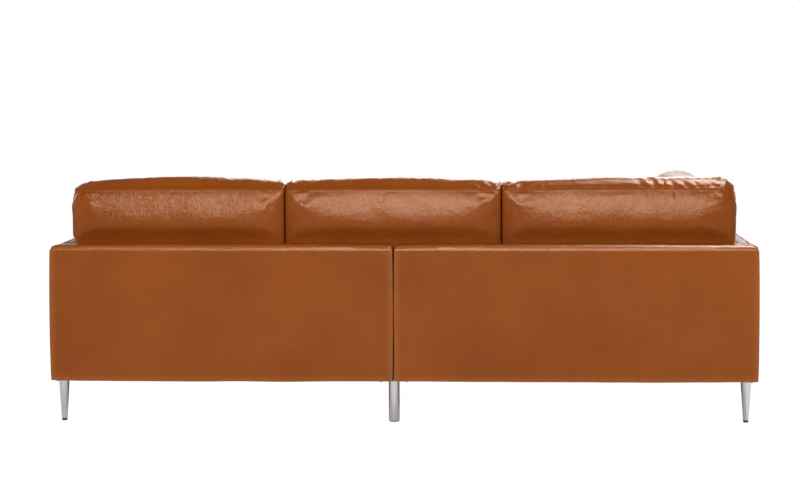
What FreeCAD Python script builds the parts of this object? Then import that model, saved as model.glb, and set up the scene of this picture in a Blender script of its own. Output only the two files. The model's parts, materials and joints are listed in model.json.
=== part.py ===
"""Corner sofa: two leather halves that stand side by side, a chaise at one end, loose cushions.

The front of the sofa faces -Y and its rear face is at the +Y side. The sofa half is on +X, the
chaise half on -X. The origin is on the floor, under the middle of the whole sofa. Sizes are in mm.
"""

import FreeCAD
import Part
import Sketcher

import math
import os
import re

from FreeCAD import Vector

# Every size that can be set by itself. Fits and places are worked out from these.
SIZES = {
    # The two halves
    "sofa_half_width": 1228,
    "chaise_half_width": 1292,
    "joint_gap": 10,
    "sofa_depth": 900,
    "chaise_depth": 1600,
    "body_height": 483,
    "base_height": 140,
    "back_thickness": 120,
    "arm_thickness": 70,
    "chaise_arm_length": 1060,
    # Leather covers and the padding under them
    "cover_thickness": 2.5,
    "cover_radius": 18,
    "wadding": 6,
    "inner_foam": 18,
    "deck_border": 70,
    "nest_gap": 0.3,
    # Timber
    "rail_thickness": 28,
    "back_post_width": 45,
    "back_rail_height": 60,
    "block_size": 60,
    "block_height": 50,
    "arm_window_margin": 60,
    # Seat springs and their clips
    "wire_diameter": 3.8,
    "spring_bar": 24,
    "spring_turn": 60,
    "spring_spacing": 200,
    "spring_depth": 6.9,
    "clip_plate": 1.2,
    "clip_width": 18,
    "clip_length": 16,
    # Cloth and webbing
    "deck_cloth_thickness": 2.5,
    "dust_cloth_thickness": 1,
    "dust_inset": 12,
    "webbing_width": 60,
    "webbing_thickness": 1.5,
    "webbing_spacing": 130,
    # Legs and what holds them
    "leg_height": 150,
    "leg_top_diameter": 38,
    "leg_foot_diameter": 20,
    "leg_inset_side": 39,
    "leg_inset_rear": 32,
    "cap_height": 8,
    "cap_diameter": 19,
    "centre_leg_diameter": 38.6,
    "pad_height": 3,
    "pad_diameter": 36,
    "plate_size": 50,
    "plate_thickness": 3,
    "joining_plate_length": 122,
    "stud_diameter": 8,
    "stud_in_leg": 28,
    "stud_in_timber": 34,
    "screw_diameter": 4.5,
    "screw_head_diameter": 9,
    "screw_head_height": 2.6,
    "screw_length": 22,
    "screw_spacing": 36,
    "joining_screw_spacing": 92,
    "bore_gap": 0.25,
    # Seat cushions
    "end_seat_width": 761,
    "middle_seat_width": 790,
    "seat_thickness": 155,
    "seat_crown": 22,
    "seat_draw": 5,
    "crown_rim": 9,
    "crown_shoulder": 40,
    "notch_corner": 8,
    "seat_front_inset": 3,
    "cushion_gap": 3,
    "rest_gap": 0.3,
    "side_clearance": 1,
    # Back cushions and the side cushion
    "back_cushion_thickness": 178,
    "back_cushion_seam": 380,
    "side_cushion_thickness": 204,
    "side_cushion_seam": 354,
    "side_cushion_length": 750,
    "side_cushion_gap": 14,
    "cushion_crown": 44,
    "cushion_bulge": 26,
    "cushion_draw": 12,
    "cushion_end_draw": 4,
    "cushion_corner": 26,
    "cushion_leather": 2.5,
}

doc = FreeCAD.newDocument("corner_sofa")
sheet = doc.addObject("Spreadsheet::Sheet", "Sizes")
for row, (alias, number) in enumerate(SIZES.items(), start=1):
    sheet.set(f"A{row}", alias)
    sheet.set(f"B{row}", str(number))
    sheet.setAlias(f"B{row}", alias)
doc.recompute()

nodes = []


def bound(text):
    """The formula with each size's name pointing at its cell in the sheet."""
    return re.sub(r"[a-z_]+", lambda word: f"Sizes.{word[0]}" if word[0] in SIZES else word[0], text)


def number_of(text):
    """The value of a formula in mm, for the shapes that are worked out point by point."""
    return float(sheet.evalExpression(bound(text)))


def node(thing, name):
    """Marks an object as a finished piece under its own name."""
    thing.Label = name
    nodes.append(thing)
    return thing


def place(thing, x="0", y="0", z="0"):
    """Ties an object's position to formulas."""
    for axis, formula in (("x", x), ("y", y), ("z", z)):
        thing.setExpression(f"Placement.Base.{axis}", bound(formula))
    return thing


# Lines that the pieces share, as formulas

X_LEFT = "((sofa_half_width + joint_gap + chaise_half_width) / 2)"
X_RIGHT = f"(-{X_LEFT})"
X_SOFA_JOINT = f"({X_LEFT} - sofa_half_width)"
X_CHAISE_JOINT = f"({X_RIGHT} + chaise_half_width)"
X_GAP_MIDDLE = f"({X_CHAISE_JOINT} + joint_gap / 2)"
X_ARM_LEFT = f"({X_LEFT} - arm_thickness)"
X_ARM_RIGHT = f"({X_RIGHT} + arm_thickness)"
X_SEAT_SPLIT = f"({X_ARM_LEFT} - end_seat_width)"
X_CHAISE_INNER = f"({X_SEAT_SPLIT} - middle_seat_width)"
Y_REAR = "(chaise_depth / 2)"
Y_BACK_FACE = f"({Y_REAR} - back_thickness)"
Y_SOFA_FRONT = f"({Y_REAR} - sofa_depth)"
Y_CHAISE_FRONT = f"({Y_REAR} - chaise_depth)"
Y_ARM_END = f"({Y_BACK_FACE} - chaise_arm_length)"
Z_BOTTOM = "leg_height"
Z_DECK = "(leg_height + base_height)"
Z_TOP = "(leg_height + body_height)"
Z_WIRE = f"({Z_DECK} - spring_depth)"
Z_RAIL_TOP = f"({Z_WIRE} - wire_diameter / 2 - nest_gap - clip_plate)"
Z_PLATE = f"({Z_BOTTOM} - plate_thickness)"


# Boxes and shells


def box(name, x, y, z):
    """A box between a lower and an upper formula along each axis."""
    solid = doc.addObject("Part::Box", name)
    for side, (low, high) in (("Length", x), ("Width", y), ("Height", z)):
        solid.setExpression(side, bound(f"({high}) - ({low})"))
    return place(solid, x[0], y[0], z[0])


def cut(name, base, tool):
    """The base object with the tool taken out of it."""
    result = doc.addObject("Part::Cut", name)
    result.Base = base
    result.Tool = tool
    return result


def group(name, parts):
    """Several solids that are one object."""
    result = doc.addObject("Part::Compound", name)
    result.Links = parts
    return result


def edges_at(shape, wanted):
    """Names of the straight edges whose two ends both lie on two of the wanted planes."""
    found = []
    for index, edge in enumerate(shape.Edges, start=1):
        ends = [vertex.Point for vertex in edge.Vertexes]
        for first, second in wanted:
            planes = (first, second)
            if all(abs(getattr(end, axis) - level) < 0.01 for end in ends for axis, level in planes):
                found.append(f"Edge{index}")
    return found


def rounded_box(name, x, y, z, round_pairs, radius):
    """A box with rounded edges.

    round_pairs names the edges to round by the two sides that meet there: left, right, front,
    rear or top.
    """
    block = box(f"{name}_block", x, y, z)
    doc.recompute()
    sides = {
        "right": ("x", number_of(x[0])),
        "left": ("x", number_of(x[1])),
        "front": ("y", number_of(y[0])),
        "rear": ("y", number_of(y[1])),
        "top": ("z", number_of(z[1])),
    }
    wanted = [(sides[first], sides[second]) for first, second in round_pairs]
    size = number_of(radius)
    rounding = doc.addObject("Part::Fillet", name)
    rounding.Base = block
    rounding.Edges = [(int(edge[4:]), size, size) for edge in edges_at(block.Shape, wanted)]
    return rounding


def shell(name, x, y, z, round_pairs):
    """A leather cover: a rounded box that is hollow and open below."""
    outer = rounded_box(f"{name}_outside", x, y, z, round_pairs, "cover_radius")
    room = rounded_box(
        f"{name}_room",
        inside(*x, "cover_thickness"),
        inside(*y, "cover_thickness"),
        (f"{z[0]} - 1", f"{z[1]} - cover_thickness"),
        round_pairs,
        "cover_radius - cover_thickness",
    )
    return cut(name, outer, room)


def inner_fill(name, x, y, z, core, round_pairs):
    """Padding: a rounded box that lies inside a cover, with the space of the frame taken out."""
    block = rounded_box(f"{name}_outside", x, y, z, round_pairs, "cover_radius - cover_thickness")
    return cut(name, block, core)


def inside(low, high, inset="cover_thickness + nest_gap"):
    """A pair of limits drawn in at both ends by one formula."""
    return (f"{low} + ({inset})", f"{high} - ({inset})")


# Backs: posts and rails, webbing on their front side, padding and a leather cover

BACK_Y = (Y_BACK_FACE, Y_REAR)
BACK_EDGES = [("rear", "top"), ("front", "top"), ("left", "top"), ("right", "top"),
              ("left", "rear"), ("right", "rear")]
TIMBER_IN = "cover_thickness + nest_gap + wadding + nest_gap"
TIMBER_IN_FRONT = "cover_thickness + nest_gap + inner_foam + nest_gap + webbing_thickness"
BACK_TIMBER_Y = (f"{Y_BACK_FACE} + ({TIMBER_IN_FRONT})", f"{Y_REAR} - ({TIMBER_IN})")
Z_BACK_TIMBER_TOP = f"({Z_TOP} - ({TIMBER_IN}) - wadding)"

back_posts = []


def back(half, low, high):
    """The back of one half, over its whole width."""
    cover = shell(f"{half}_back_cover", (low, high), BACK_Y, (Z_BOTTOM, Z_TOP), BACK_EDGES)
    node(cover, f"{half}_back_cover")
    timber_x = (f"{low} + ({TIMBER_IN})", f"{high} - ({TIMBER_IN})")
    space = box(
        f"{half}_back_space",
        (f"{timber_x[0]} - nest_gap", f"{timber_x[1]} + nest_gap"),
        (f"{BACK_TIMBER_Y[0]} - webbing_thickness - nest_gap", f"{BACK_TIMBER_Y[1]} + nest_gap"),
        (f"{Z_BOTTOM} - 1", f"{Z_BACK_TIMBER_TOP} + nest_gap"),
    )
    padding = inner_fill(
        f"{half}_back_padding",
        inside(low, high),
        inside(*BACK_Y),
        (Z_BOTTOM, f"{Z_TOP} - cover_thickness - nest_gap"),
        space,
        BACK_EDGES,
    )
    node(padding, f"{half}_back_padding")
    bottom = box(f"{half}_bottom_rail", timber_x, BACK_TIMBER_Y,
                 (Z_BOTTOM, f"{Z_BOTTOM} + back_rail_height"))
    top = box(f"{half}_top_rail", timber_x, BACK_TIMBER_Y,
              (f"{Z_BACK_TIMBER_TOP} - back_rail_height", Z_BACK_TIMBER_TOP))
    post_z = (f"{Z_BOTTOM} + back_rail_height", f"{Z_BACK_TIMBER_TOP} - back_rail_height")
    middle = f"(({low}) + ({high})) / 2"
    post_x = (
        (timber_x[0], f"{timber_x[0]} + back_post_width"),
        (f"{middle} - back_post_width / 2", f"{middle} + back_post_width / 2"),
        (f"{timber_x[1]} - back_post_width", timber_x[1]),
    )
    for index, limits in enumerate(post_x, start=1):
        back_posts.append(box(f"{half}_post_{index}", limits, BACK_TIMBER_Y, post_z))
    return group(f"{half}_back_rails_plain", [bottom, top])


sofa_back_rails = back("sofa", X_SOFA_JOINT, X_LEFT)
chaise_back_rails = back("chaise", X_RIGHT, X_CHAISE_JOINT)
node(group("back_posts", back_posts), "back_posts")


def webbing_bands(half, low, high):
    """Upright elastic bands on the front side of one back, from the bottom rail to the top rail."""
    span = number_of(f"({high}) - ({low}) - 2 * ({TIMBER_IN}) - 2 * back_post_width")
    count = max(2, round(span / number_of("webbing_spacing")))
    bands = []
    for index in range(count):
        share = (index + 0.5) / count
        centre = (f"({low} + ({TIMBER_IN}) + back_post_width + "
                  f"{share} * (({high}) - ({low}) - 2 * ({TIMBER_IN}) - 2 * back_post_width))")
        bands.append(box(
            f"{half}_band_{index + 1}",
            (f"{centre} - webbing_width / 2", f"{centre} + webbing_width / 2"),
            (f"{BACK_TIMBER_Y[0]} - webbing_thickness", BACK_TIMBER_Y[0]),
            (f"{Z_BOTTOM} + back_rail_height / 2", f"{Z_BACK_TIMBER_TOP} - back_rail_height / 2"),
        ))
    return bands


bands = webbing_bands("sofa", X_SOFA_JOINT, X_LEFT)
bands += webbing_bands("chaise", X_RIGHT, X_CHAISE_JOINT)
node(group("back_webbing", bands), "back_webbing")


# Arms: a plywood frame with windows, padding and a leather cover, standing on the base

ARM_EDGES = [("front", "top"), ("left", "top"), ("right", "top"), ("left", "front"), ("right", "front")]


def arm(half, low, high, front):
    """One arm, from the front of the back to its own end."""
    y = (front, Y_BACK_FACE)
    cover = shell(f"{half}_arm_cover", (low, high), y, (Z_DECK, Z_TOP), ARM_EDGES)
    node(cover, f"{half}_arm_cover")
    frame_x = (f"{low} + ({TIMBER_IN})", f"{high} - ({TIMBER_IN})")
    frame_y = (f"{y[0]} + ({TIMBER_IN})", f"{y[1]} - ({TIMBER_IN})")
    frame_z = (Z_DECK, Z_BACK_TIMBER_TOP)
    space = box(
        f"{half}_arm_space",
        (f"{frame_x[0]} - nest_gap", f"{frame_x[1]} + nest_gap"),
        (f"{frame_y[0]} - nest_gap", f"{frame_y[1]} + nest_gap"),
        (f"{Z_DECK} - 1", f"{Z_BACK_TIMBER_TOP} + nest_gap"),
    )
    padding = inner_fill(
        f"{half}_arm_padding",
        inside(low, high),
        inside(*y),
        (Z_DECK, f"{Z_TOP} - cover_thickness - nest_gap"),
        space,
        ARM_EDGES,
    )
    node(padding, f"{half}_arm_padding")
    body = doc.addObject("PartDesign::Body", f"{half}_arm_frame")
    panel = body.newObject("PartDesign::AdditiveBox", f"{half}_arm_panel")
    for side, (start, end) in (("Length", frame_x), ("Width", frame_y), ("Height", frame_z)):
        panel.setExpression(side, bound(f"({end}) - ({start})"))
    place(panel, frame_x[0], frame_y[0], frame_z[0])
    length = f"(({frame_y[1]}) - ({frame_y[0]}))"
    width = f"({length} - 3 * arm_window_margin) / 2"
    for index in range(2):
        window = body.newObject("PartDesign::SubtractiveBox", f"{half}_arm_window_{index + 1}")
        window.setExpression("Length", bound("arm_thickness"))
        window.setExpression("Width", bound(width))
        window.setExpression("Height", bound(f"({frame_z[1]}) - ({frame_z[0]}) - 2 * arm_window_margin"))
        place(window, low, f"{frame_y[0]} + arm_window_margin + {index} * ({width} + arm_window_margin)",
              f"{frame_z[0]} + arm_window_margin")
    doc.recompute()
    node(body, f"{half}_arm_frame")


arm("sofa", X_ARM_LEFT, X_LEFT, Y_SOFA_FRONT)
arm("chaise", X_RIGHT, X_ARM_RIGHT, Y_ARM_END)


# Bases: leather covers with an open deck, rails inside them, cloth over the springs

BASE_EDGES = [("front", "top"), ("left", "top"), ("right", "top"), ("left", "front"), ("right", "front")]
CENTRE_EDGES = [("front", "top"), ("left", "top"), ("left", "front")]


def base_cover(name, x, y, round_pairs):
    """The leather of one base: its sides and a border round the open deck."""
    closed = shell(f"{name}_closed", x, y, (Z_BOTTOM, Z_DECK), round_pairs)
    opening = box(f"{name}_opening", inside(*x, "deck_border"), inside(*y, "deck_border"),
                  (f"{Z_DECK} - base_height / 2", f"{Z_DECK} + 1"))
    return node(cut(name, closed, opening), name)


def deck_cloth(name, x, y):
    """The cloth that fills the open deck and lies on the springs."""
    low = f"({Z_WIRE} + wire_diameter / 2 + nest_gap)"
    edge = "deck_border + nest_gap"
    cloth = box(name, inside(*x, edge), inside(*y, edge), (low, f"{low} + deck_cloth_thickness"))
    return node(cloth, name)


SEAT_Y = (Y_SOFA_FRONT, Y_BACK_FACE)
CHAISE_Y = (Y_CHAISE_FRONT, Y_BACK_FACE)
SOFA_X = (X_SOFA_JOINT, X_LEFT)
CENTRE_X = (X_CHAISE_INNER, X_CHAISE_JOINT)
CHAISE_X = (X_RIGHT, X_CHAISE_INNER)

base_cover("sofa_base_cover", SOFA_X, SEAT_Y, BASE_EDGES)
base_cover("centre_base_cover", CENTRE_X, SEAT_Y, CENTRE_EDGES)
base_cover("chaise_base_cover", CHAISE_X, CHAISE_Y, BASE_EDGES)
deck_cloth("sofa_deck_cloth", SOFA_X, SEAT_Y)
deck_cloth("centre_deck_cloth", CENTRE_X, SEAT_Y)
deck_cloth("chaise_deck_cloth", CHAISE_X, CHAISE_Y)

RAIL_IN = "cover_thickness + nest_gap"
RAIL_Z = (Z_BOTTOM, Z_RAIL_TOP)


def rails_along_x(name, x, y, between=""):
    """A front and a rear rail along X, drawn in at both ends by the formula between."""
    ends = inside(*x, f"{RAIL_IN}{between}")
    front = box(f"{name}_front", ends,
                (f"{y[0]} + ({RAIL_IN})", f"{y[0]} + ({RAIL_IN}) + rail_thickness"), RAIL_Z)
    rear = box(f"{name}_rear", ends,
               (f"{y[1]} - ({RAIL_IN}) - rail_thickness", f"{y[1]} - ({RAIL_IN})"), RAIL_Z)
    return [front, rear]


def rails_along_y(name, x, y, between=""):
    """A left and a right rail along Y, drawn in at both ends by the formula between."""
    ends = inside(*y, f"{RAIL_IN}{between}")
    right = box(f"{name}_right", (f"{x[0]} + ({RAIL_IN})", f"{x[0]} + ({RAIL_IN}) + rail_thickness"),
                ends, RAIL_Z)
    left = box(f"{name}_left", (f"{x[1]} - ({RAIL_IN}) - rail_thickness", f"{x[1]} - ({RAIL_IN})"),
               ends, RAIL_Z)
    return [right, left]


SHORT = " + rail_thickness"


def rail_round(low, high):
    """Limits of a rail's thickness round the middle between two limits."""
    middle = f"(({low}) + ({high})) / 2"
    return (f"{middle} - rail_thickness / 2", f"{middle} + rail_thickness / 2")


def eased(name, x, y, round_pairs, rails):
    """Rails with their outer corners and edges rounded to lie inside a base cover."""
    room = rounded_box(f"{name}_room", inside(*x, RAIL_IN), inside(*y, RAIL_IN),
                       (f"{Z_BOTTOM} - 1", f"{Z_DECK} - cover_thickness - nest_gap"), round_pairs,
                       "cover_radius - cover_thickness - nest_gap")
    result = doc.addObject("Part::Common", name)
    result.Base = group(f"{name}_square", rails)
    result.Tool = room
    return result


middle_rail = box("sofa_middle_rail", rail_round(*SOFA_X), inside(*SEAT_Y, f"{RAIL_IN}{SHORT}"), RAIL_Z)
cross_rail = box("chaise_middle_rail", inside(*CHAISE_X, f"{RAIL_IN}{SHORT}"), rail_round(*CHAISE_Y),
                 RAIL_Z)
sofa_end_rails = [*rails_along_y("sofa_end_rail", SOFA_X, SEAT_Y, SHORT), middle_rail]
centre_end_rails = rails_along_y("centre_end_rail", CENTRE_X, SEAT_Y, SHORT)
cross_rails = [*rails_along_x("chaise_cross_rail", CHAISE_X, CHAISE_Y, SHORT), cross_rail]

sofa_long_rails = eased("sofa_rails", SOFA_X, SEAT_Y, BASE_EDGES,
                        rails_along_x("sofa_rail", SOFA_X, SEAT_Y))
centre_long_rails = eased("centre_rails", CENTRE_X, SEAT_Y, CENTRE_EDGES,
                          rails_along_x("centre_rail", CENTRE_X, SEAT_Y))
seat_end_rails = group("end_rails", [
    eased("sofa_ends", SOFA_X, SEAT_Y, BASE_EDGES, sofa_end_rails),
    eased("centre_ends", CENTRE_X, SEAT_Y, CENTRE_EDGES, centre_end_rails),
])
chaise_side_rails = eased("side_rails", CHAISE_X, CHAISE_Y, BASE_EDGES,
                          rails_along_y("chaise_side_rail", CHAISE_X, CHAISE_Y))
chaise_cross_rails = eased("cross_rails", CHAISE_X, CHAISE_Y, BASE_EDGES, cross_rails)


# Legs stand at five corners, and two straight legs carry both halves under the gap

BLOCK_IN = f"{RAIL_IN} + rail_thickness"


def block(name, side_x, inward_x, front_y):
    """A corner block inside two rails, beside a front leg."""
    near = f"{side_x} + ({inward_x}) * ({BLOCK_IN})"
    far = f"{side_x} + ({inward_x}) * ({BLOCK_IN} + block_size)"
    x = (near, far) if inward_x > 0 else (far, near)
    y = (f"{front_y} + ({BLOCK_IN})", f"{front_y} + ({BLOCK_IN}) + block_size")
    return box(name, x, y, (Z_BOTTOM, f"{Z_BOTTOM} + block_height"))


corner_blocks = group("blocks", [
    block("sofa_outer_block", X_LEFT, -1, Y_SOFA_FRONT),
    block("sofa_joint_block", X_SOFA_JOINT, 1, Y_SOFA_FRONT),
    block("centre_joint_block", X_CHAISE_JOINT, -1, Y_SOFA_FRONT),
    block("chaise_inner_block", X_CHAISE_INNER, -1, Y_CHAISE_FRONT),
    block("chaise_outer_block", X_RIGHT, 1, Y_CHAISE_FRONT),
])

TAPERED_LEGS = {
    "sofa_rear_leg": (f"({X_LEFT} - leg_inset_side)", f"({Y_REAR} - leg_inset_rear)"),
    "sofa_front_leg": (f"({X_LEFT} - leg_inset_side)", f"({Y_SOFA_FRONT} + leg_inset_side)"),
    "chaise_rear_leg": (f"({X_RIGHT} + leg_inset_side)", f"({Y_REAR} - leg_inset_rear)"),
    "chaise_outer_leg": (f"({X_RIGHT} + leg_inset_side)", f"({Y_CHAISE_FRONT} + leg_inset_side)"),
    "chaise_inner_leg": (f"({X_CHAISE_INNER} - leg_inset_side)", f"({Y_CHAISE_FRONT} + leg_inset_side)"),
}
STRAIGHT_LEGS = {
    "rear_centre_leg": (X_GAP_MIDDLE, f"({Y_REAR} - leg_inset_rear)"),
    "front_centre_leg": (X_GAP_MIDDLE, f"({Y_SOFA_FRONT} + leg_inset_side)"),
}
ALL_LEGS = {**TAPERED_LEGS, **STRAIGHT_LEGS}


def origin_plane(body, role):
    """One of a body's own base planes or axes."""
    return next(thing for thing in body.Origin.OriginFeatures if thing.Role == role)


def outline_sketch(body, name, role, points):
    """A closed outline whose corners are tied to formulas, on one of the body's base planes."""
    sketch = body.newObject("Sketcher::SketchObject", name)
    sketch.AttachmentSupport = (origin_plane(body, role), [""])
    sketch.MapMode = "FlatFace"
    values = [Vector(number_of(x), number_of(y), 0) for x, y in points]
    count = len(points)
    for index in range(count):
        sketch.addGeometry(Part.LineSegment(values[index], values[(index + 1) % count]), False)
    for index in range(count):
        sketch.addConstraint(Sketcher.Constraint("Coincident", index, 2, (index + 1) % count, 1))
    for index, formulas in enumerate(points):
        for direction, formula in zip(("DistanceX", "DistanceY"), formulas):
            value = number_of(formula)
            constraint = Sketcher.Constraint(direction, -1, 1, index, 1, value)
            number = sketch.addConstraint(constraint)
            if formula != "0":
                sketch.setExpression(f"Constraints[{number}]", bound(formula))
    return sketch


def turned(name, points):
    """A solid turned about the upright axis from an outline of (radius, height) corners."""
    body = doc.addObject("PartDesign::Body", name)
    sketch = outline_sketch(body, f"{name}_outline", "XZ_Plane", points)
    spin = body.newObject("PartDesign::Revolution", f"{name}_spin")
    spin.Profile = sketch
    spin.ReferenceAxis = (sketch, ["V_Axis"])
    spin.Angle = 360
    sketch.Visibility = False
    return body


BORE = "(stud_diameter / 2 + bore_gap)"
Z_BORE = f"({Z_PLATE} - stud_in_leg)"


def leg(name, x, y, top_diameter, foot_diameter, foot_level):
    """A metal leg with a bore from above for its stud."""
    body = turned(name, [
        ("0", foot_level),
        (f"{foot_diameter} / 2", foot_level),
        (f"{top_diameter} / 2", Z_PLATE),
        (BORE, Z_PLATE),
        (BORE, Z_BORE),
        ("0", Z_BORE),
    ])
    place(body, x, y)
    return node(body, name)


def upright(name, x, y, low, high, diameter):
    """A plain upright cylinder."""
    solid = doc.addObject("Part::Cylinder", name)
    solid.setExpression("Radius", bound(f"({diameter}) / 2"))
    solid.setExpression("Height", bound(f"({high}) - ({low})"))
    return place(solid, x, y, low)


for leg_name, (leg_x, leg_y) in TAPERED_LEGS.items():
    leg(leg_name, leg_x, leg_y, "leg_top_diameter", "leg_foot_diameter", "cap_height")
for leg_name, (leg_x, leg_y) in STRAIGHT_LEGS.items():
    leg(leg_name, leg_x, leg_y, "centre_leg_diameter", "centre_leg_diameter", "pad_height")

caps = [upright(f"{name}_cap", x, y, "0", "cap_height", "cap_diameter")
        for name, (x, y) in TAPERED_LEGS.items()]
node(group("leg_caps", caps), "leg_caps")
pads = [upright(f"{name}_pad", x, y, "0", "pad_height", "pad_diameter")
        for name, (x, y) in STRAIGHT_LEGS.items()]
node(group("centre_leg_pads", pads), "centre_leg_pads")


def stud(name, x, y, spare="0"):
    """A threaded stud from inside a leg, through the plate and into the timber."""
    return upright(name, x, y, f"{Z_PLATE} - stud_in_leg", f"{Z_BOTTOM} + stud_in_timber",
                   f"stud_diameter + 2 * ({spare})")


def screw_places(name, x, y):
    """The four screws round one leg."""
    spread = "joining_screw_spacing" if name in STRAIGHT_LEGS else "screw_spacing"
    return [(f"{x} + ({right}) * {spread} / 2", f"{y} + ({back_side}) * screw_spacing / 2")
            for right in (-1, 1) for back_side in (-1, 1)]


def screw(name, x, y):
    """A wood screw with a low round head under the plate."""
    shank = upright(f"{name}_shank", x, y, Z_PLATE, f"{Z_PLATE} + screw_length", "screw_diameter")
    head = upright(f"{name}_head", x, y, f"{Z_PLATE} - screw_head_height", Z_PLATE, "screw_head_diameter")
    whole = doc.addObject("Part::Fuse", name)
    whole.Base = shank
    whole.Tool = head
    return whole


studs = []
screws = []
bores = []
for leg_name, (leg_x, leg_y) in ALL_LEGS.items():
    studs.append(stud(f"{leg_name}_stud", leg_x, leg_y))
    bores.append(stud(f"{leg_name}_stud_bore", leg_x, leg_y, "bore_gap"))
    for index, (screw_x, screw_y) in enumerate(screw_places(leg_name, leg_x, leg_y), start=1):
        screws.append(screw(f"{leg_name}_screw_{index}", screw_x, screw_y))
        bores.append(upright(f"{leg_name}_screw_bore_{index}", screw_x, screw_y, f"{Z_PLATE} - 1",
                             f"{Z_PLATE} + screw_length + bore_gap", "screw_diameter + 2 * bore_gap"))
node(group("leg_studs", studs), "leg_studs")
node(group("plate_screws", screws), "plate_screws")
bore_tool = group("bores", bores)

plates = []
joining_plates = []
for leg_name, (leg_x, leg_y) in ALL_LEGS.items():
    length = "joining_plate_length" if leg_name in STRAIGHT_LEGS else "plate_size"
    plate = box(
        f"{leg_name}_plate",
        (f"{leg_x} - {length} / 2", f"{leg_x} + {length} / 2"),
        (f"{leg_y} - plate_size / 2", f"{leg_y} + plate_size / 2"),
        (Z_PLATE, Z_BOTTOM),
    )
    (joining_plates if leg_name in STRAIGHT_LEGS else plates).append(plate)

node(cut("leg_plates", group("plates_plain", plates), bore_tool), "leg_plates")
node(cut("joining_plates", group("joining_plain", joining_plates), bore_tool), "joining_plates")
for timber, timber_name in (
    (sofa_back_rails, "sofa_back_rails"),
    (chaise_back_rails, "chaise_back_rails"),
    (sofa_long_rails, "sofa_long_rails"),
    (centre_long_rails, "centre_long_rails"),
    (seat_end_rails, "seat_end_rails"),
    (chaise_side_rails, "chaise_side_rails"),
    (chaise_cross_rails, "chaise_cross_rails"),
    (corner_blocks, "corner_blocks"),
):
    node(cut(timber_name, timber, bore_tool), timber_name)


# Dust covers close the underside, cut away round the plates

DUST_Z = (f"{Z_BOTTOM} - dust_cloth_thickness", Z_BOTTOM)
plate_space = group("plate_space", [
    box(
        f"{leg_name}_plate_space",
        (f"{leg_x} - {length} / 2 - dust_inset / 2", f"{leg_x} + {length} / 2 + dust_inset / 2"),
        (f"{leg_y} - plate_size / 2 - dust_inset / 2", f"{leg_y} + plate_size / 2 + dust_inset / 2"),
        (Z_PLATE, f"{Z_BOTTOM} + 1"),
    )
    for leg_name, (leg_x, leg_y) in ALL_LEGS.items()
    for length in ["joining_plate_length" if leg_name in STRAIGHT_LEGS else "plate_size"]
])
sofa_sheet = box("sofa_dust_sheet", inside(*SOFA_X, "dust_inset"),
                 inside(Y_SOFA_FRONT, Y_REAR, "dust_inset"), DUST_Z)
node(cut("sofa_dust_cover", sofa_sheet, plate_space), "sofa_dust_cover")
chaise_sheet = doc.addObject("Part::Fuse", "chaise_dust_sheet")
chaise_sheet.Base = box("chaise_dust_long", inside(*CHAISE_X, "dust_inset"),
                        inside(Y_CHAISE_FRONT, Y_REAR, "dust_inset"), DUST_Z)
chaise_sheet.Tool = box("chaise_dust_centre", inside(X_RIGHT, X_CHAISE_JOINT, "dust_inset"),
                        inside(Y_SOFA_FRONT, Y_REAR, "dust_inset"), DUST_Z)
node(cut("chaise_dust_cover", chaise_sheet, plate_space), "chaise_dust_cover")


def shaped(name, shape):
    """A piece whose form no plain feature gives, made from its own curves."""
    feature = doc.addObject("Part::Feature", name)
    feature.Shape = shape
    return node(feature, name)


# Seat springs: wire bent to and fro in half turns, with its end bars held in clips


def wave_wire(length):
    """One spring along +Y from y = 0, in the XY plane, and the number of its bars."""
    bars = max(3, round(length / number_of("spring_turn")) + 1)
    radius = length / (bars - 1) / 2
    half = number_of("spring_bar") / 2
    edges = []
    for index in range(bars):
        y = index * 2 * radius
        side = 1 if index % 2 == 0 else -1
        edges.append(Part.makeLine(Vector(-side * half, y, 0), Vector(side * half, y, 0)))
        if index < bars - 1:
            start = Vector(side * half, y, 0)
            top = Vector(side * (half + radius), y + radius, 0)
            end = Vector(side * half, y + 2 * radius, 0)
            slant = radius * math.sqrt(0.5)
            first = Vector(side * (half + slant), y + radius - slant, 0)
            second = Vector(side * (half + slant), y + radius + slant, 0)
            edges.append(Part.Arc(start, first, top).toShape())
            edges.append(Part.Arc(top, second, end).toShape())
    path = Part.Wire(edges)
    circle = Part.makeCircle(number_of("wire_diameter / 2"), Vector(-half, 0, 0), Vector(1, 0, 0))
    return path.makePipeShell([Part.Wire([circle])], True, True)


def clip_solid():
    """One clip: a plate on the rail, a rear wall and a lip over the wire, open towards +Y."""
    plate = number_of("clip_plate")
    width = number_of("clip_width")
    length = number_of("clip_length")
    room = number_of("wire_diameter + 2 * nest_gap")
    low = -room / 2 - plate
    foot = Part.makeBox(width, length, plate, Vector(-width / 2, -length / 2, low))
    lip = Part.makeBox(width, length / 2 + room / 2, plate, Vector(-width / 2, -length / 2, room / 2))
    wall = Part.makeBox(width, plate, room + 2 * plate, Vector(-width / 2, -length / 2, low))
    return foot.fuse(lip).fuse(wall).removeSplitter()


def spring_rows(low, high):
    """Centres of the springs along a base, evenly spread between two limits."""
    count = max(2, round((high - low) / number_of("spring_spacing")))
    return [low + (high - low) * (index + 0.5) / count for index in range(count)]


z_wire = number_of(Z_WIRE)
bar_inset = number_of(f"{RAIL_IN} + rail_thickness - clip_length / 2 - 1")
clip = clip_solid()
clips = []


def springs_between(rows, start, end, turn):
    """Springs from one rail to the other, turned to run along Y (0) or along X (90)."""
    wire = wave_wire(end - start)
    made = []
    for row in rows:
        spot = Vector(row, start, z_wire) if turn == 0 else Vector(start, row, z_wire)
        for solid, angle, offset in ((wire, 0, 0), (clip, 0, 0), (clip, 180, end - start)):
            copy = solid.copy()
            copy.rotate(Vector(0, 0, 0), Vector(0, 0, 1), angle - turn)
            along = Vector(0, offset, 0) if turn == 0 else Vector(offset, 0, 0)
            copy.translate(spot + along)
            (made if solid is wire else clips).append(copy)
    return made


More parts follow.
